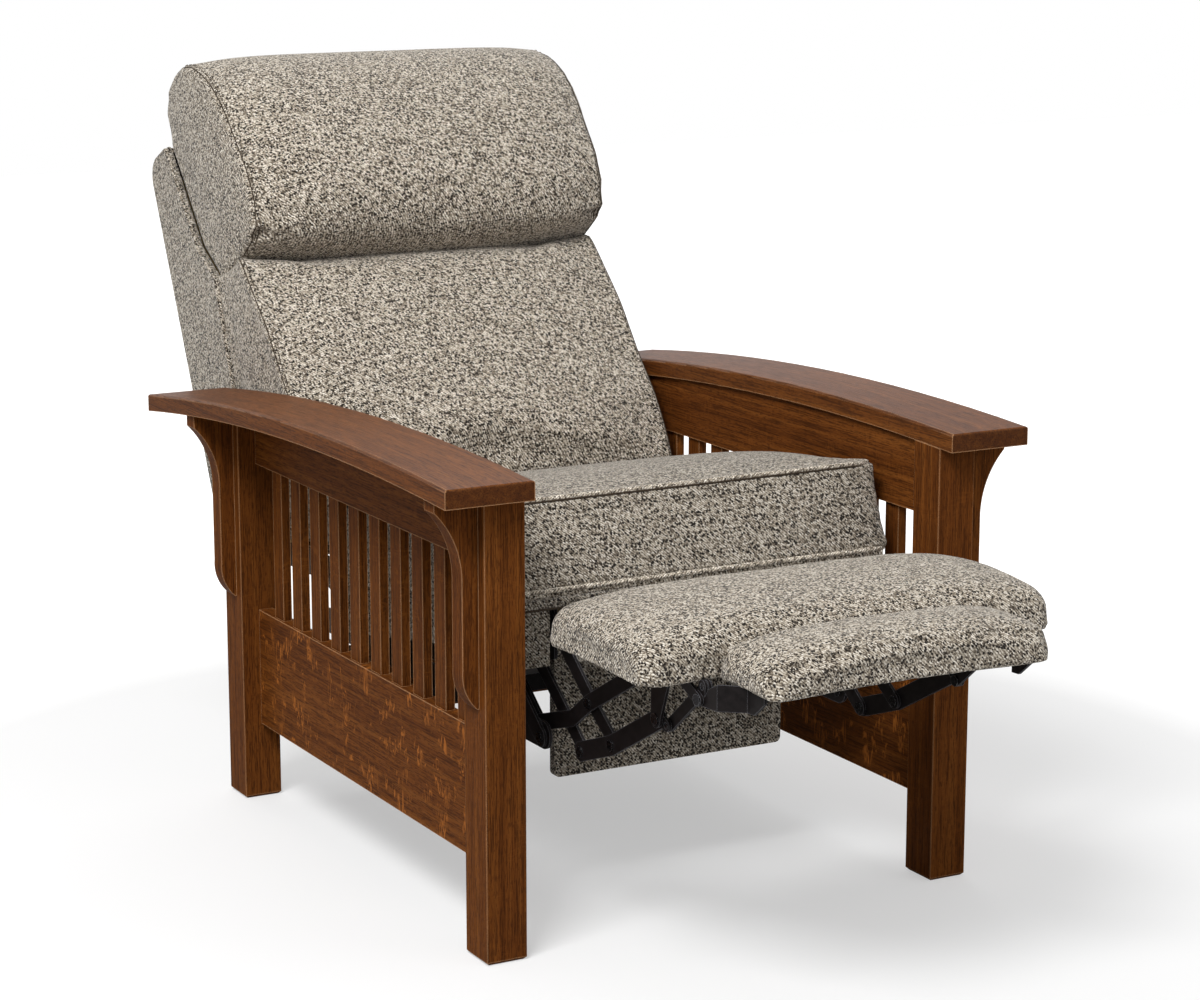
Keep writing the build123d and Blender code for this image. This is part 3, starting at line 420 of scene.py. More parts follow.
def finish_for(name):
    """The material of a carried-over piece, from what it is."""
    if "slats" in name:
        return oak_slats
    if name.endswith(("_leg", "_corbel")):
        return oak_upright
    if name.startswith(("right_", "left_")):
        if name.endswith("_arm"):
            return oak_arm
        return oak_flecked if "bottom_rail" in name else oak_lengthwise
    if name == "rear_stretcher":
        return oak_crosswise
    if name.endswith("_pins"):
        return rivet_steel
    if name.endswith("_board"):
        return plywood
    if name in ("seat_cross_rails", "back_posts", "back_rails"):
        return frame_wood
    # The drop panel and the front rail take tweed painted darker, painted shade under the seat and
    # footrest.
    if name in ("drop_panel", "seat_front_rail"):
        return tweed_under_painted_shade
    return tweed_plain_painted_shade if name in covered else black_steel


for name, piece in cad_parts.items():
    for slot in piece.material_slots:
        slot.material = finish_for(name)
print("pieces finished", len(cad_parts))

# %% [markdown]
# ## Meshes from arrays
# Every new surface is a grid of points worked out with numpy. One helper puts such a grid into
# a mesh as quads, closed around if asked, with its ends closed by a fan.


# %% Grid to mesh
def grid_mesh(name, grid, body, material, around=True, ends=True):
    """A mesh from rows of points: each quad joins two rows, and each end row closes on its middle."""
    rows, count = grid.shape[:2]
    points = grid.reshape(-1, 3)
    index = np.arange(rows * count).reshape(rows, count)
    following = np.roll(index, -1, 1) if around else index[:, 1:]
    current = index if around else index[:, :-1]
    quads = np.stack([current[:-1], following[:-1], following[1:], current[1:]], -1)
    faces = quads.reshape(-1, 4).tolist()
    if ends:
        middles = np.stack([grid[0].mean(0), grid[-1].mean(0)])
        first, last = (np.full_like(current[0], len(points) + end) for end in (0, 1))
        points = np.vstack([points, middles])
        faces += np.stack([following[0], current[0], first], -1).tolist()
        faces += np.stack([current[-1], following[-1], last], -1).tolist()
    mesh = bpy.data.meshes.new(name)
    mesh.from_pydata(points.tolist(), [], faces)
    mesh.update()
    weld = bmesh.new()
    weld.from_mesh(mesh)
    bmesh.ops.remove_doubles(weld, verts=weld.verts, dist=1e-6)
    if ends:
        bmesh.ops.recalc_face_normals(weld, faces=weld.faces)
    weld.to_mesh(mesh)
    weld.free()
    mesh.polygons.foreach_set("use_smooth", [True] * len(mesh.polygons))
    piece = bpy.data.objects.new(name, mesh)
    bpy.context.scene.collection.objects.link(piece)
    mesh.materials.append(material)
    if body:
        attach(piece, body)
    return piece


# %% [markdown]
# Side outlines are drawn through a few corners, each rounded, and then cut into even steps.


# %% Outlines
def resample(path, count, closed=True):
    """Points at even steps of length along a path."""
    path = np.vstack([path, path[:1]]) if closed else path
    steps = np.r_[0, np.cumsum(np.linalg.norm(np.diff(path, axis=0), axis=1))]
    places = np.linspace(0, steps[-1], count, endpoint=not closed)
    return np.stack([np.interp(places, steps, path[:, i]) for i in range(path.shape[1])], -1)


def outline(points, count, rounding):
    """A closed outline of count points through corners. Each is rounded by its radius: a parabola
    mixes its start, corner and end by (1-t) squared, 2t(1-t) and t squared."""
    points = np.asarray(points, float)
    before, after = np.roll(points, 1, 0), np.roll(points, -1, 0)
    t = np.linspace(0, 1, 9)[:, None]
    path = []
    for corner, last, following, radius in zip(points, before, after, rounding):
        start = corner + (last - corner) / np.linalg.norm(last - corner) * radius
        end = corner + (following - corner) / np.linalg.norm(following - corner) * radius
        path.append((1 - t) ** 2 * start + 2 * t * (1 - t) * corner + t**2 * end)
    return resample(np.vstack(path), count)


print("even steps", resample(np.array([[0.0, 0.0], [4.0, 0.0]]), 5, False)[:, 0])

# %% [markdown]
# ## A cushion in steps
# A boxed cushion is a side outline carried across the chair. Towards each end panel the outline
# draws in a little, the way a cover pulls at its seams.


# %% Cushion body
def cushion_grid(profile, half_width, inset, power, rows=41):
    """Rows of a closed outline across the chair. At share s of the half width the outline is drawn
    towards its middle by inset times |s| to the power given."""
    s = np.sin(np.linspace(-1, 1, rows) * math.pi / 2)
    centre = profile.mean(0)
    reach = np.linalg.norm(profile - centre, axis=1, keepdims=True)
    draw = inset * np.abs(s)[:, None, None] ** power
    yz = profile[None] - (profile - centre)[None] / reach[None] * draw
    x = np.broadcast_to(s[:, None, None] * half_width, yz.shape[:2] + (1,))
    return np.concatenate([x, yz], -1)


def points_of(mesh):
    """The mesh's points as an array."""
    flat = np.empty(len(mesh.vertices) * 3)
    mesh.vertices.foreach_get("co", flat)
    return flat.reshape(-1, 3)


def move_points(mesh, points):
    """Puts the mesh's points at new places."""
    mesh.vertices.foreach_set("co", points.ravel())
    mesh.update()


far_off = 9.0


def distance_to(points, curve):
    """The distance from each point to the nearest point of a finely sampled curve."""
    best = np.full(len(points), far_off)
    for part in np.array_split(curve, max(1, len(curve) // 64)):
        gap = np.linalg.norm(points[:, None] - part[None], axis=2).min(1)
        best = np.minimum(best, gap)
    return best


print("distances are counted up to", far_off, "m")

# %% [markdown]
# The box is then remeshed to even small quads and blown up as cloth with a light pressure, with
# its seam lines held still, so that the panels puff and the seams sink, as in a real stuffed
# cover. Last, no point may have moved further than a cap, and one subdivision smooths it.

# %% Inflation
cover_cloth = {
    "quality": 5, "mass": 0.3, "use_pressure": True, "tension_stiffness": 15,
    "compression_stiffness": 15, "shear_stiffness": 8, "bending_stiffness": 1.2}


def inflate(piece, voxel, pressure, cap, held=(), held_width=0.012, frames=20):
    """Remeshes a closed piece, blows it up as cloth with the held curves still, and caps the swell:
    a move m becomes cap times the hyperbolic tangent of m / cap."""
    for other in bpy.context.selected_objects:
        other.select_set(False)
    piece.select_set(True)
    bpy.context.view_layer.objects.active = piece
    remesh = piece.modifiers.new("remesh", "REMESH")
    remesh.mode, remesh.voxel_size, remesh.use_smooth_shade = "VOXEL", voxel, True
    bpy.ops.object.modifier_apply(modifier=remesh.name)
    before = points_of(piece.data)
    hold = np.zeros(len(before))
    for curve in held:
        hold = np.maximum(hold, np.clip(1 - distance_to(before, curve) / held_width, 0, 1))
    cloth = piece.modifiers.new("cloth", "CLOTH")
    for setting, value in cover_cloth.items():
        setattr(cloth.settings, setting, value)
    cloth.settings.uniform_pressure_force = pressure
    cloth.settings.effector_weights.gravity = 0.0
    cloth.collision_settings.use_collision = False
    if hold.any():
        group = piece.vertex_groups.new(name="held")
        for index in np.flatnonzero(hold > 0):
            group.add([int(index)], float(hold[index]), "REPLACE")
        cloth.settings.vertex_group_mass = "held"
        cloth.settings.pin_stiffness = 1.0
    cloth.point_cache.frame_start, cloth.point_cache.frame_end = 1, frames
    for step in range(1, frames + 1):
        bpy.context.scene.frame_set(step)
    bpy.ops.object.modifier_apply(modifier=cloth.name)
    bpy.context.scene.frame_set(1)
    move = points_of(piece.data) - before
    length = np.linalg.norm(move, axis=1, keepdims=True)
    allowed = cap * np.tanh(length / cap)
    move_points(piece.data, before + move / np.maximum(length, 1e-9) * allowed)
    print(piece.name, "swelled by up to", round(float(allowed.max()) * 1000, 1), "mm")
    subdivision = piece.modifiers.new("smooth", "SUBSURF")
    subdivision.levels = subdivision.render_levels = 1
    bpy.ops.object.modifier_apply(modifier=subdivision.name)
    piece.data.polygons.foreach_set("use_smooth", [True] * len(piece.data.polygons))
    print(piece.name, len(piece.data.vertices), "points")


# %% [markdown]
# ## Seams
# A seam is a line on the cushion's surface. It is laid on the finished cushion by moving each
# of its points to the nearest point of the surface.


# %% Laying lines on a surface
def surface_of(piece):
    """A search tree over the finished mesh."""
    corners = [vertex.co for vertex in piece.data.vertices]
    return BVHTree.FromPolygons(corners, [face.vertices for face in piece.data.polygons])


def lay(tree, curve, lift=0.0):
    """Each point of the curve moved to the surface and lifted off it, with the surface's normals."""
    found = [tree.find_nearest(Vector(p)) for p in curve]
    spots = np.array([f[0] for f in found])
    normals = np.array([f[1] for f in found])
    return spots + normals * lift, normals


def smooth_line(path, closed, rounds=3):
    """Each point moved half way to the middle of its neighbours, a few times."""
    for _ in range(rounds):
        near = (np.roll(path, 1, 0) + np.roll(path, -1, 0)) / 2
        moved = (path + near) / 2
        path = moved if closed else np.vstack([path[:1], moved[1:-1], path[-1:]])
    return path


print("smoothed corner", smooth_line(np.array([[0.0], [0.0], [1.0], [1.0]]), False).ravel())

# %% [markdown]
# The light pressure lifts the cover off its seams a little. So the surface is first brought back
# to each seam, and then sunk along it as the thread pulls it in.


# %% Pulling and pressing seams
def pull_seam(piece, curve, width=0.016):
    """Brings the surface back to a seam: a point near the line moves by the gap that opened between
    the line and the surface there, times a bell of the width given."""
    spots, _ = lay(surface_of(piece), curve)
    points = points_of(piece.data)
    nearest, best = np.zeros(len(points), int), np.full(len(points), far_off)
    for start in range(0, len(curve), 40):
        gaps = np.linalg.norm(points[:, None] - curve[None, start:start + 40], axis=2)
        closer = gaps.min(1) < best
        nearest = np.where(closer, start + gaps.argmin(1), nearest)
        best = np.where(closer, gaps.min(1), best)
    share = np.exp(-(best / width) ** 2)[:, None]
    move_points(piece.data, points + (curve - spots)[nearest] * share)


def press_seam(piece, curve, depth, width):
    """Sinks the surface along a curve: a valley of the depth given, dying away as a bell."""
    points = points_of(piece.data)
    normals = np.empty(len(points) * 3)
    piece.data.vertices.foreach_get("normal", normals)
    sink = depth * np.exp(-(distance_to(points, curve) / width) ** 2)
    move_points(piece.data, points - normals.reshape(-1, 3) * sink[:, None])


print("a bell at its width keeps", round(math.exp(-1), 2), "of its height")

# %% [markdown]
# ## Welts, painted shadow cords and stitches
# A welt is a cord about 7 mm thick, wrapped in the same cloth and sewn into the seam; its cloth
# is painted a little lighter, a painted highlight. Beside it lies a thin dark cord, painted shadow
# for the shade in the fold. Stitches are short threads along the seam.


# %% Cords
def rings(side, up, sides):
    """Unit circles along a path: the cosine of each angle along side, plus its sine along up."""
    angle = np.linspace(0, 2 * math.pi, sides, endpoint=False)[None, :, None]
    return side[:, None] * np.cos(angle) + up[:, None] * np.sin(angle)


def tube(name, path, radius, body, material, closed=True, sides=10):
    """A cord along a path: a circle of the radius set square to the path at each point. Each circle
    starts where the one before it started, less what points along the path."""
    forward = np.roll(path, -1, 0) - np.roll(path, 1, 0)
    if not closed:
        forward[0], forward[-1] = path[1] - path[0], path[-1] - path[-2]
    forward /= np.linalg.norm(forward, axis=1, keepdims=True)
    side = np.empty_like(path)
    current = np.cross(forward[0], (0.3, 0.5, 0.8))
    for i, f in enumerate(forward):
        current = current - f * np.dot(current, f)
        current /= np.linalg.norm(current)
        side[i] = current
    grid = path[:, None] + rings(side, np.cross(forward, side), sides) * radius
    if closed:
        grid = np.vstack([grid, grid[:1]])
    grid_mesh(name, grid, body, material, True, not closed)


print("a cord's ring", rings(np.eye(3)[:1], np.eye(3)[1:2], 4).round(3).tolist())

# %% [markdown]
# A stitch is a bead with five rings of six points, thin and sunk at both ends.

# %% Stitches
stitch_share = np.array([-1.0, -0.5, 0.0, 0.5, 1.0])
stitch_width = np.array([0.35, 0.9, 1.0, 0.9, 0.35])
stitch_rise = np.array([-0.4, 0.5, 0.7, 0.5, -0.4])
stitch_sides = 6


def stitches(name, path, normals, body, step=0.0058, length=0.0042, radius=0.001):
    """Short threads along an open path, one for each step."""
    total = np.linalg.norm(np.diff(path, axis=0), axis=1).sum()
    count = max(4, int(total / step))
    even = resample(np.hstack([path, normals]), count, False)
    spot, normal = even[:, :3], even[:, 3:]
    along = np.gradient(spot, axis=0)
    along /= np.linalg.norm(along, axis=1, keepdims=True)
    normal = normal - along * (normal * along).sum(1, keepdims=True)
    normal /= np.linalg.norm(normal, axis=1, keepdims=True)
    base = spot[:, None] + along[:, None] * (stitch_share * length / 2)[None, :, None]
    base = base + normal[:, None] * (stitch_rise * radius)[None, :, None]
    around = rings(np.cross(along, normal), normal, stitch_sides)
    points = base[:, :, None] + around[:, None] * (stitch_width * radius)[None, :, None, None]
    index = np.arange(points.size // 3).reshape(points.shape[:3])
    after = np.roll(index, -1, 2)
    quads = np.stack([index[:, :-1], after[:, :-1], after[:, 1:], index[:, 1:]], -1)
    caps = index[:, 0, ::-1].tolist() + index[:, -1].tolist()
    mesh = bpy.data.meshes.new(name)
    mesh.from_pydata(points.reshape(-1, 3).tolist(), [], quads.reshape(-1, 4).tolist() + caps)
    mesh.polygons.foreach_set("use_smooth", [True] * len(mesh.polygons))
    mesh.materials.append(thread)
    piece = bpy.data.objects.new(name, mesh)
    bpy.context.scene.collection.objects.link(piece)
    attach(piece, body)
    print(name, count, "stitches")


# %% [markdown]
# ## The seat cushion
# It is a boxed cushion of foam, 118 mm thick, crowned on top.


# %% Seat cushion
def across(near, far, half_width, corner=0.012, count=160):
    """A closed seam round a panel: four straight runs with rounded corners, in the panel's plane."""
    corners = [(-1, near), (1, near), (1, far), (-1, far)]
    flat = np.array([[side * half_width, *end] for side, end in corners])
    return outline(flat, count, [corner] * 4)


seat_half, side_gap = 0.298, 0.001
seat_corners = [on_seat(-8, 1), on_seat(549, 3), on_seat(549, 115), on_seat(240, 134), on_seat(15, 118)]
seat_profile = outline(np.vstack(seat_corners), 120, [0.010, 0.018, 0.02, 0.09, 0.014])
seat_top_seam = across(on_seat(14, 119), on_seat(549, 115), seat_half)
seat_bottom_seam = across(on_seat(-8, 1), on_seat(549, 3), seat_half)
seat_grid = cushion_grid(seat_profile, seat_half - side_gap, inset=0.003, power=12)
seat_cushion = grid_mesh("seat_cushion_cover", seat_grid, None, tweed_seat_painted_shade)
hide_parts("seat_cushion")
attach(seat_cushion, "seat")
inflate(seat_cushion, voxel=0.0075, pressure=4.0, cap=0.022,
        held=[seat_top_seam, seat_bottom_seam], held_width=0.014)

# %% [markdown]
# Two welts run round it, one at the top edge and one at the bottom edge, and the boxing between
# them bulges a little. The welts' cloth is painted lighter, a painted highlight. Below each welt
# lies a thin dark cord, painted shadow for the shade in the fold.

# %% Welts of the seat cushion
for seam in (seat_top_seam, seat_bottom_seam):
    pull_seam(seat_cushion, seam)
    press_seam(seat_cushion, seam, depth=0.002, width=0.006)
seat_surface = surface_of(seat_cushion)
welt_radius, seat_shadow_cord_radius = 0.0034, 0.0019
for label, seam, below, lift in (
        ("top", seat_top_seam, -0.0052, 0.0018), ("bottom", seat_bottom_seam, -0.0062, 0.0032)):
    line, _ = lay(seat_surface, seam, lift)
    tube("seat_welt_" + label, smooth_line(line, True), welt_radius, "seat", tweed_welt_painted_highlight)
    line, _ = lay(seat_surface, seam + (0, 0, below), 0.0004)
    tube("seat_shadow_cord_" + label, smooth_line(line, True), seat_shadow_cord_radius, "seat", painted_shadow_cloth, sides=6)
print("welts", welt_radius * 2000, "mm thick")

# %% [markdown]
# Under the bottom welt the cover turns in and is pulled down over the front rail. That strip is a
# thin padded lip of the same cloth, painted darker as shade.

# %% Lip under the seat cushion
lip_top, lip_bottom, lip_rear, lip_half = 444.5, 430.0, 91.7, 290
lip_section = outline([
    (lip_rear, lip_top), (88.5, lip_top), (86, 441), (87, 436), (89.5, 431.5), (lip_rear, lip_bottom),
], 36, [1, 2, 3, 3, 2, 0.8])
lip_x = np.linspace(-lip_half, lip_half, 97)
ripple = 1 + 0.14 * np.sin(lip_x / 23) + 0.1 * np.sin(lip_x / 9.1 + 1)
lip_y = lip_rear - (lip_rear - lip_section[None, :, 0]) * ripple[:, None]
lip_z = np.broadcast_to(lip_section[None, :, 1], lip_y.shape)
taper = 1 - 0.05 * (lip_top - lip_z) / (lip_top - lip_bottom)
lip_across = (lip_x[:, None] * taper)[..., None] / 1000
lip = grid_mesh("seat_lip", np.concatenate([lip_across, place(lip_y, lip_z)], -1), "seat", tweed_under_painted_shade)
# A thin dark cord along the lip's bottom edge is painted shadow.
fold_x = lip_x[::4] * 0.95 / 1000
lip_line = np.column_stack([fold_x, place(np.full(len(fold_x), 90.2), lip_bottom)])
tube("seat_lip_shadow_cord", lip_line, 0.0018, "seat", painted_shadow_cloth, False, 6)
print("lip", len(lip.data.vertices), "points")

# %% [markdown]
# ## The back cushion
# It is thick at the bottom, where it holds the small of the back, and thinner under the head
# cushion. It sits on the frame between its two side seams and its two rear edges.

# %% Back cushion
back_half = 0.298
front_up = np.array([2, 70, 117, 196, 282, 412])
front_out = np.array([373, 368, 361, 337, 317, 265])
front_line = on_back(front_up, front_out)
rear_line = on_back(np.array([415, 200, 2]), np.array([168, 155, 139]))
back_profile = outline(
    np.vstack([front_line, rear_line]), 140, [0.02, 0.02, 0.02, 0.03, 0.03, 0.014, 0.003, 0.02, 0.003])
side_seam, rear_edge = [], []
for s in (-1, 1):
    for line, kept in ((front_line, side_seam), (rear_line, rear_edge)):
        kept.append(np.hstack([np.full((90, 1), s * back_half), resample(line, 90, False)]))
back_grid = cushion_grid(back_profile, back_half - side_gap, inset=0.003, power=12)
back_cushion = grid_mesh("back_cushion_cover", back_grid, None, tweed_back)
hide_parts("back_cushion")
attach(back_cushion, "back")
inflate(back_cushion, voxel=0.0075, pressure=4.0, cap=0.022,
        held=side_seam + rear_edge, held_width=0.014)
for edge in rear_edge + side_seam:
    pull_seam(back_cushion, edge)
for seam in side_seam:
    press_seam(back_cushion, seam, depth=0.0015, width=0.005)

# %% [markdown]
# A side panel joins the front panel in a flat seam, with a row of stitches on the front panel.
# Behind, where the cushion meets the frame's padded side, a roll of cover fills the corner, so
# that no light comes through it. The roll's cloth is painted darker as shade, and a thin dark
# cord of painted shadow runs along the seam.

# %% Trim of the back's cushions
roll_x, roll_radius, back_shadow_cord_radius, stitch_in = 0.2975, 0.004, 0.0009, 0.0065


def trim_sides(cushion, label, seams, edges):
    """The corner roll, its cloth painted darker as shade, the thin dark cord of painted shadow along
    the seam, and the stitches on each side of a cushion of the back.
    """
    surface = surface_of(cushion)
    for side, sign, seam, edge in zip(("right", "left"), (-1, 1), seams, edges):
        corner = edge * (0, 1, 1) + (sign * roll_x, 0, 0)
        tube(label + "_roll_" + side, corner, roll_radius, "back", tweed_under_painted_shade, False)
        line, _ = lay(surface, seam, 0.0002)
        fold = smooth_line(line, False)
        tube(label + "_fold_" + side, fold, back_shadow_cord_radius, "back", painted_shadow_cloth, False, 6)
        line, normal = lay(surface, seam - (sign * stitch_in, 0, 0))
        stitches(label + "_stitch_" + side, smooth_line(line, False), normal, "back")


trim_sides(back_cushion, "back", side_seam, rear_edge)

# %% [markdown]
# ## The head cushion
# A big soft roll hangs over the top of the frame and sits on the back cushion. Its end panels
# are set in with stitched seams, and between them the roll is fuller. So there are two side
# outlines, one at the seams and one in the middle, and one line for the flat rear.

# %% Outlines of the head cushion
head_half, seam_half, end_round = 0.297, 0.291, 0.010
seam_up = np.array([415, 424, 437, 477, 524, 579, 620, 651, 682, 712, 741, 754, 755, 745, 711, 664])
seam_out = np.array([255, 300, 323, 334, 328, 308, 293, 279, 260, 234, 196, 165, 130, 96, 70, 72])
roll_up = np.array([406, 409, 420, 463, 524, 586, 636, 672, 702, 730, 750, 761, 760, 747, 712, 662])
roll_out = np.array([250, 300, 334, 359, 354, 338, 320, 302, 280, 250, 212, 170, 128, 92, 67, 70])
rear_up, rear_out = np.array([655, 600, 500, 473, 440, 404]), np.array([74, 90, 118, 126, 150, 172])


def head_profile(share, count=150):
    """The side outline: a share of the full roll added to the end seam's outline."""
    up = np.r_[seam_up + (roll_up - seam_up) * share, rear_up]
    out = np.r_[seam_out + (roll_out - seam_out) * share, rear_out]
    return resample(on_back(up, out), count)


def head_rows():
    """Side outlines across the chair. Between the seams each is the roll with its share falling as
    the sixth power, and past a seam it closes in on its middle as a quarter circle does."""
    kept = []
    for x in head_half * np.sin(np.linspace(-1, 1, 61) * math.pi / 2):
        share = min(1.0, abs(x) / seam_half)
        profile = head_profile(1 - share**6)
        past = max(0.0, (abs(x) - seam_half) / (head_half - seam_half))
        middle = profile.mean(0)
        reach = np.linalg.norm(profile - middle, axis=1, keepdims=True)
        closing = end_round * (1 - math.sqrt(1 - past**2))
        profile = profile - (profile - middle) / reach * closing
        kept.append(np.hstack([np.full((len(profile), 1), x), profile]))
    return np.stack(kept)


print("the roll is", int(max(roll_out) - max(seam_out)), "mm fuller than its seams")

# %% [markdown]
# The roll is soft and has settled a little to one side, with that end's top leaning out and
# forward. Its seams and rear edges settle with it, and are held still while it is blown up.


# %% Head cushion
def settle(points):
    """The soft roll lies 6 mm to the sitter's left. Towards that end its top leans out and forward
    by up to 8 and 22 mm, by the cube of the share across times the share of the height."""
    across_share = np.clip(points[..., 0] / seam_half, 0, 1) ** 3
    share = across_share * np.clip((points[..., 2] - 0.86) / 0.18, 0, 1)
    return points + share[..., None] * (0.008, -0.022, 0.006) + (0.006, 0.0, 0.0)


head_cushion = grid_mesh("head_cushion_cover", settle(head_rows()), None, tweed_head)
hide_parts("head_cushion")
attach(head_cushion, "back")
head_seam, head_rear = [], []
for s in (-1, 1):
    line = resample(on_back(seam_up, seam_out), 150, False)
    head_seam.append(settle(np.hstack([np.full((150, 1), s * seam_half), line])))
    line = resample(on_back(rear_up, rear_out), 90, False)
    head_rear.append(settle(np.hstack([np.full((90, 1), s * (head_half - side_gap)), line])))
inflate(head_cushion, voxel=0.0075, pressure=4.0, cap=0.02, held=head_seam + head_rear)
for edge in head_rear + head_seam:
    pull_seam(head_cushion, edge)
for seam in head_seam:
    press_seam(head_cushion, seam, depth=0.002, width=0.005)

# %% [markdown]
# The thread of each end seam gathers the roll into three pleats near the bottom. They are
# pressed in as short creases that spread from one point of the seam. Then the trim goes on.

# %% Pleats and trim of the head cushion
pleats = ((452, 345, 0.235, 0.004), (470, 352, 0.252, 0.003), (432, 335, 0.215, 0.003))
for sign in (-1, 1):
    for top, front, inner, depth in pleats:
        ends = np.stack([on_back(424, 306), on_back(top, front)])
        crease = np.hstack([np.array([[sign * seam_half], [sign * inner]]), ends])
        press_seam(head_cushion, settle(resample(crease, 30, False)), depth, width=0.007)
trim_sides(head_cushion, "head", head_seam, head_rear)

# %% [markdown]
# ## The footrest pads
# Each pad is cloth pulled over foam on a plywood board and stapled beneath, so it is round on
# top and flat below, and it thins towards its ends. Under each front corner the folded cloth
# makes three short creases.


# %% Shape of a footrest pad
def pad_rows(rear, depth, underside, thickness, half, corner):
    """Rows of side outlines. Within the corner radius of either end the outline shrinks as a circle
    does, in depth and in height. Its underside stays level, and its crown falls away from the middle
    as the fourth power of the share of the half width."""
    front, middle, bottom = rear - depth, rear - depth / 2, underside + 0.4
    shoulder, crest = underside + thickness * 0.9, underside + thickness + 6
    belly = underside + thickness * 0.35
    profile = outline([
        (rear - 1, bottom), (front + 1, bottom), (front, belly), (front + 10, shoulder),
        (middle, crest), (rear - 10, shoulder), (rear, belly),
    ], 120, [2.5, 2.5, 14, 26, 60, 26, 14])
    ends = half * np.sin(np.linspace(-1, 1, 61) * math.pi / 2)
    inside = np.clip(corner - (half - np.abs(ends)), 0, corner)
    shrink = corner - np.sqrt(np.maximum(corner**2 - inside**2, 0))
    y = middle + (profile[None, :, 0] - middle) * (1 - 2 * shrink[:, None] / depth)
    crown = 1 - 0.24 * np.abs(ends / half) ** 4
    rise = (profile[None, :, 1] - bottom) * (crown - 0.8 * shrink / thickness)[:, None]
    height_share = np.clip(rise / (thickness * 0.7), 0, 1)
    bulge = 4.0 * np.abs(ends / half)[:, None] ** 8 * np.sin(math.pi * height_share)
    x = (ends[:, None] + np.sign(ends)[:, None] * bulge) / 1000
    return np.concatenate([x[..., None], place(y, bottom + rise)], -1)


def footrest_pad(name, node, body, **sizes):
    """A pad of the sizes given, blown up, pulled to its lower edge and creased at its corners."""
    piece = grid_mesh(name, pad_rows(**sizes), None, tweed_flat_painted_shade)
    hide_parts(node)
    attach(piece, body)
    inflate(piece, voxel=0.005, pressure=2.5, cap=0.008)
    rear, half, bottom = sizes["rear"], sizes["half"], sizes["underside"] + 0.4
    front = rear - sizes["depth"]
    pull_seam(piece, across(place(front, bottom), place(rear, bottom), half / 1000), 0.014)
    for side in (-1, 1):
        for run, lean, depth in ((30, 0.0, 1.8), (34, 0.5, 1.4), (24, -0.5, 1.4)):
            start = (side * (half - 1) / 1000, *place(front + 1, bottom + 4))
            inward, back = run * (0.45 + 0.3 * lean), run * (0.45 - 0.3 * lean)
            end = (side * (half - inward) / 1000, *place(front + back, bottom + run))
            press_seam(piece, resample(np.array([start, end]), 24, False), depth / 1000, 0.0045)


footrest_pad("footrest_pad_cover", "footrest_pad", "footrest",
             rear=-27, depth=248, underside=419, thickness=68, half=297, corner=20)
footrest_pad("flipper_pad_cover", "flipper_pad", "flipper",
             rear=-278, depth=125, underside=423, thickness=55, half=199, corner=18)

# %% [markdown]
# ## Floor
# The chair stands on a white studio floor, which is a light grey painted board. It takes the
# chair's soft shadow. A glow, which only the camera sees, brightens it near the chair and
# grows outwards until the floor is the plain white of the backdrop, so that no horizon shows.

# %% Floor
floor_reach, floor_rows, near_glow, glow_range = 9, 25, 0.46, (300.0, 1900.0)
steps = np.linspace(-floor_reach, floor_reach, floor_rows)
grid = np.zeros((floor_rows, floor_rows, 3))
grid[..., 0], grid[..., 1] = steps[None], steps[:, None]
floor_material, tree, surface = new_material("white_floor")
patchy = object_mm(tree, size=(900, 900, 900))
grey = add(tree, "TexNoise", {"Vector": patchy, "Scale": 1.0, "Detail": 2.0, "Roughness": 0.5})
tone = add(tree, "ValToRGB", [grey], stops=[(0.3, "#b6b6b6"), (0.7, "#bababa")])
tree.links.new(tone, surface.inputs["Base Color"])
surface.inputs["Roughness"].default_value = 0.8
surface.inputs["Specular IOR Level"].default_value = 0.1
from_middle = add(tree, "VectorMath", [object_mm(tree)], "Value", operation="LENGTH")
far = add(tree, "MapRange", [from_middle, *glow_range], **smooth)
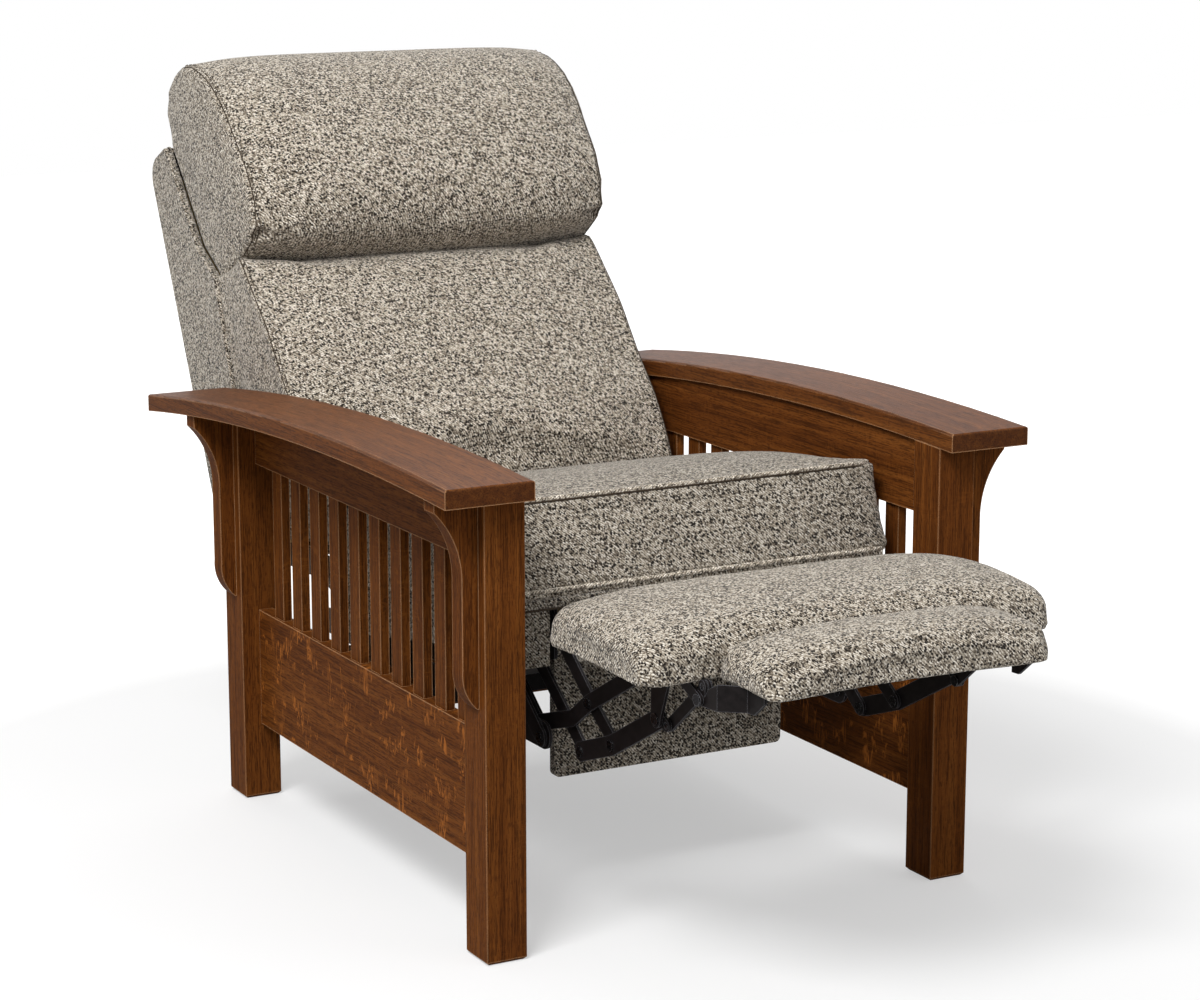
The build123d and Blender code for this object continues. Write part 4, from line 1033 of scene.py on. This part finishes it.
glow = add(tree, "Math", [far, near_glow], operation="MAXIMUM")
seen = add(tree, "LightPath", out="Is Camera Ray")
seen_glow = add(tree, "Math", [glow, seen], operation="MULTIPLY")
tree.links.new(seen_glow, surface.inputs["Emission Strength"])
surface.inputs["Emission Color"].default_value = (1.0, 1.0, 1.0, 1.0)
floor = grid_mesh("floor", grid, None, floor_material, around=False, ends=False)
print("floor", 2 * floor_reach, "m wide")

# %% [markdown]
# ## Sky and lamps
# The sky is plain white where it is seen, or mirrored, and weaker where it only lights the
# chair. A big soft lamp stands in front and to the left, a weak one fills from the right, and
# another one shines over the chair from behind.

# %% Sky and lamps
sky_light = 0.42
world = bpy.data.worlds.new("studio")
bpy.context.scene.world = world
world.use_nodes = True
tree = world.node_tree
background = tree.nodes["Background"]
path = add(tree, "LightPath").node.outputs
direct = add(tree, "Math", [path["Is Camera Ray"], path["Is Glossy Ray"]], operation="MAXIMUM")
direct = add(tree, "Math", [direct, path["Is Transmission Ray"]], operation="MAXIMUM")
strength = add(tree, "Math", [direct, 1 - sky_light, sky_light], operation="MULTIPLY_ADD")
tree.links.new(strength, background.inputs["Strength"])
background.inputs["Color"].default_value = (1.0, 1.0, 1.0, 1.0)


def lamp(name, spot, aim, size, power):
    """A soft rectangular lamp at a spot, pointed at its aim, with its power in watts."""
    data = bpy.data.lights.new(name, "AREA")
    data.shape, data.size, data.size_y, data.energy = "RECTANGLE", size[0], size[1], power
    made = bpy.data.objects.new(name, data)
    made.location = spot
    made.rotation_euler = (Vector(aim) - Vector(spot)).to_track_quat("-Z", "Y").to_euler()
    bpy.context.scene.collection.objects.link(made)
    print(name, "lamp", power, "W")


lamp("key", (-2.5, -1.9, 4.0), (0, 0, 0.5), (2.0, 1.6), 200)
lamp("fill", (2.6, -3.4, 2.2), (0, 0, 0.5), (2.5, 2.5), 26)
lamp("rim", (0.5, 3.0, 3.2), (0, 0, 0.7), (3.0, 1.5), 34)
bpy.context.scene.view_settings.view_transform = "Standard"
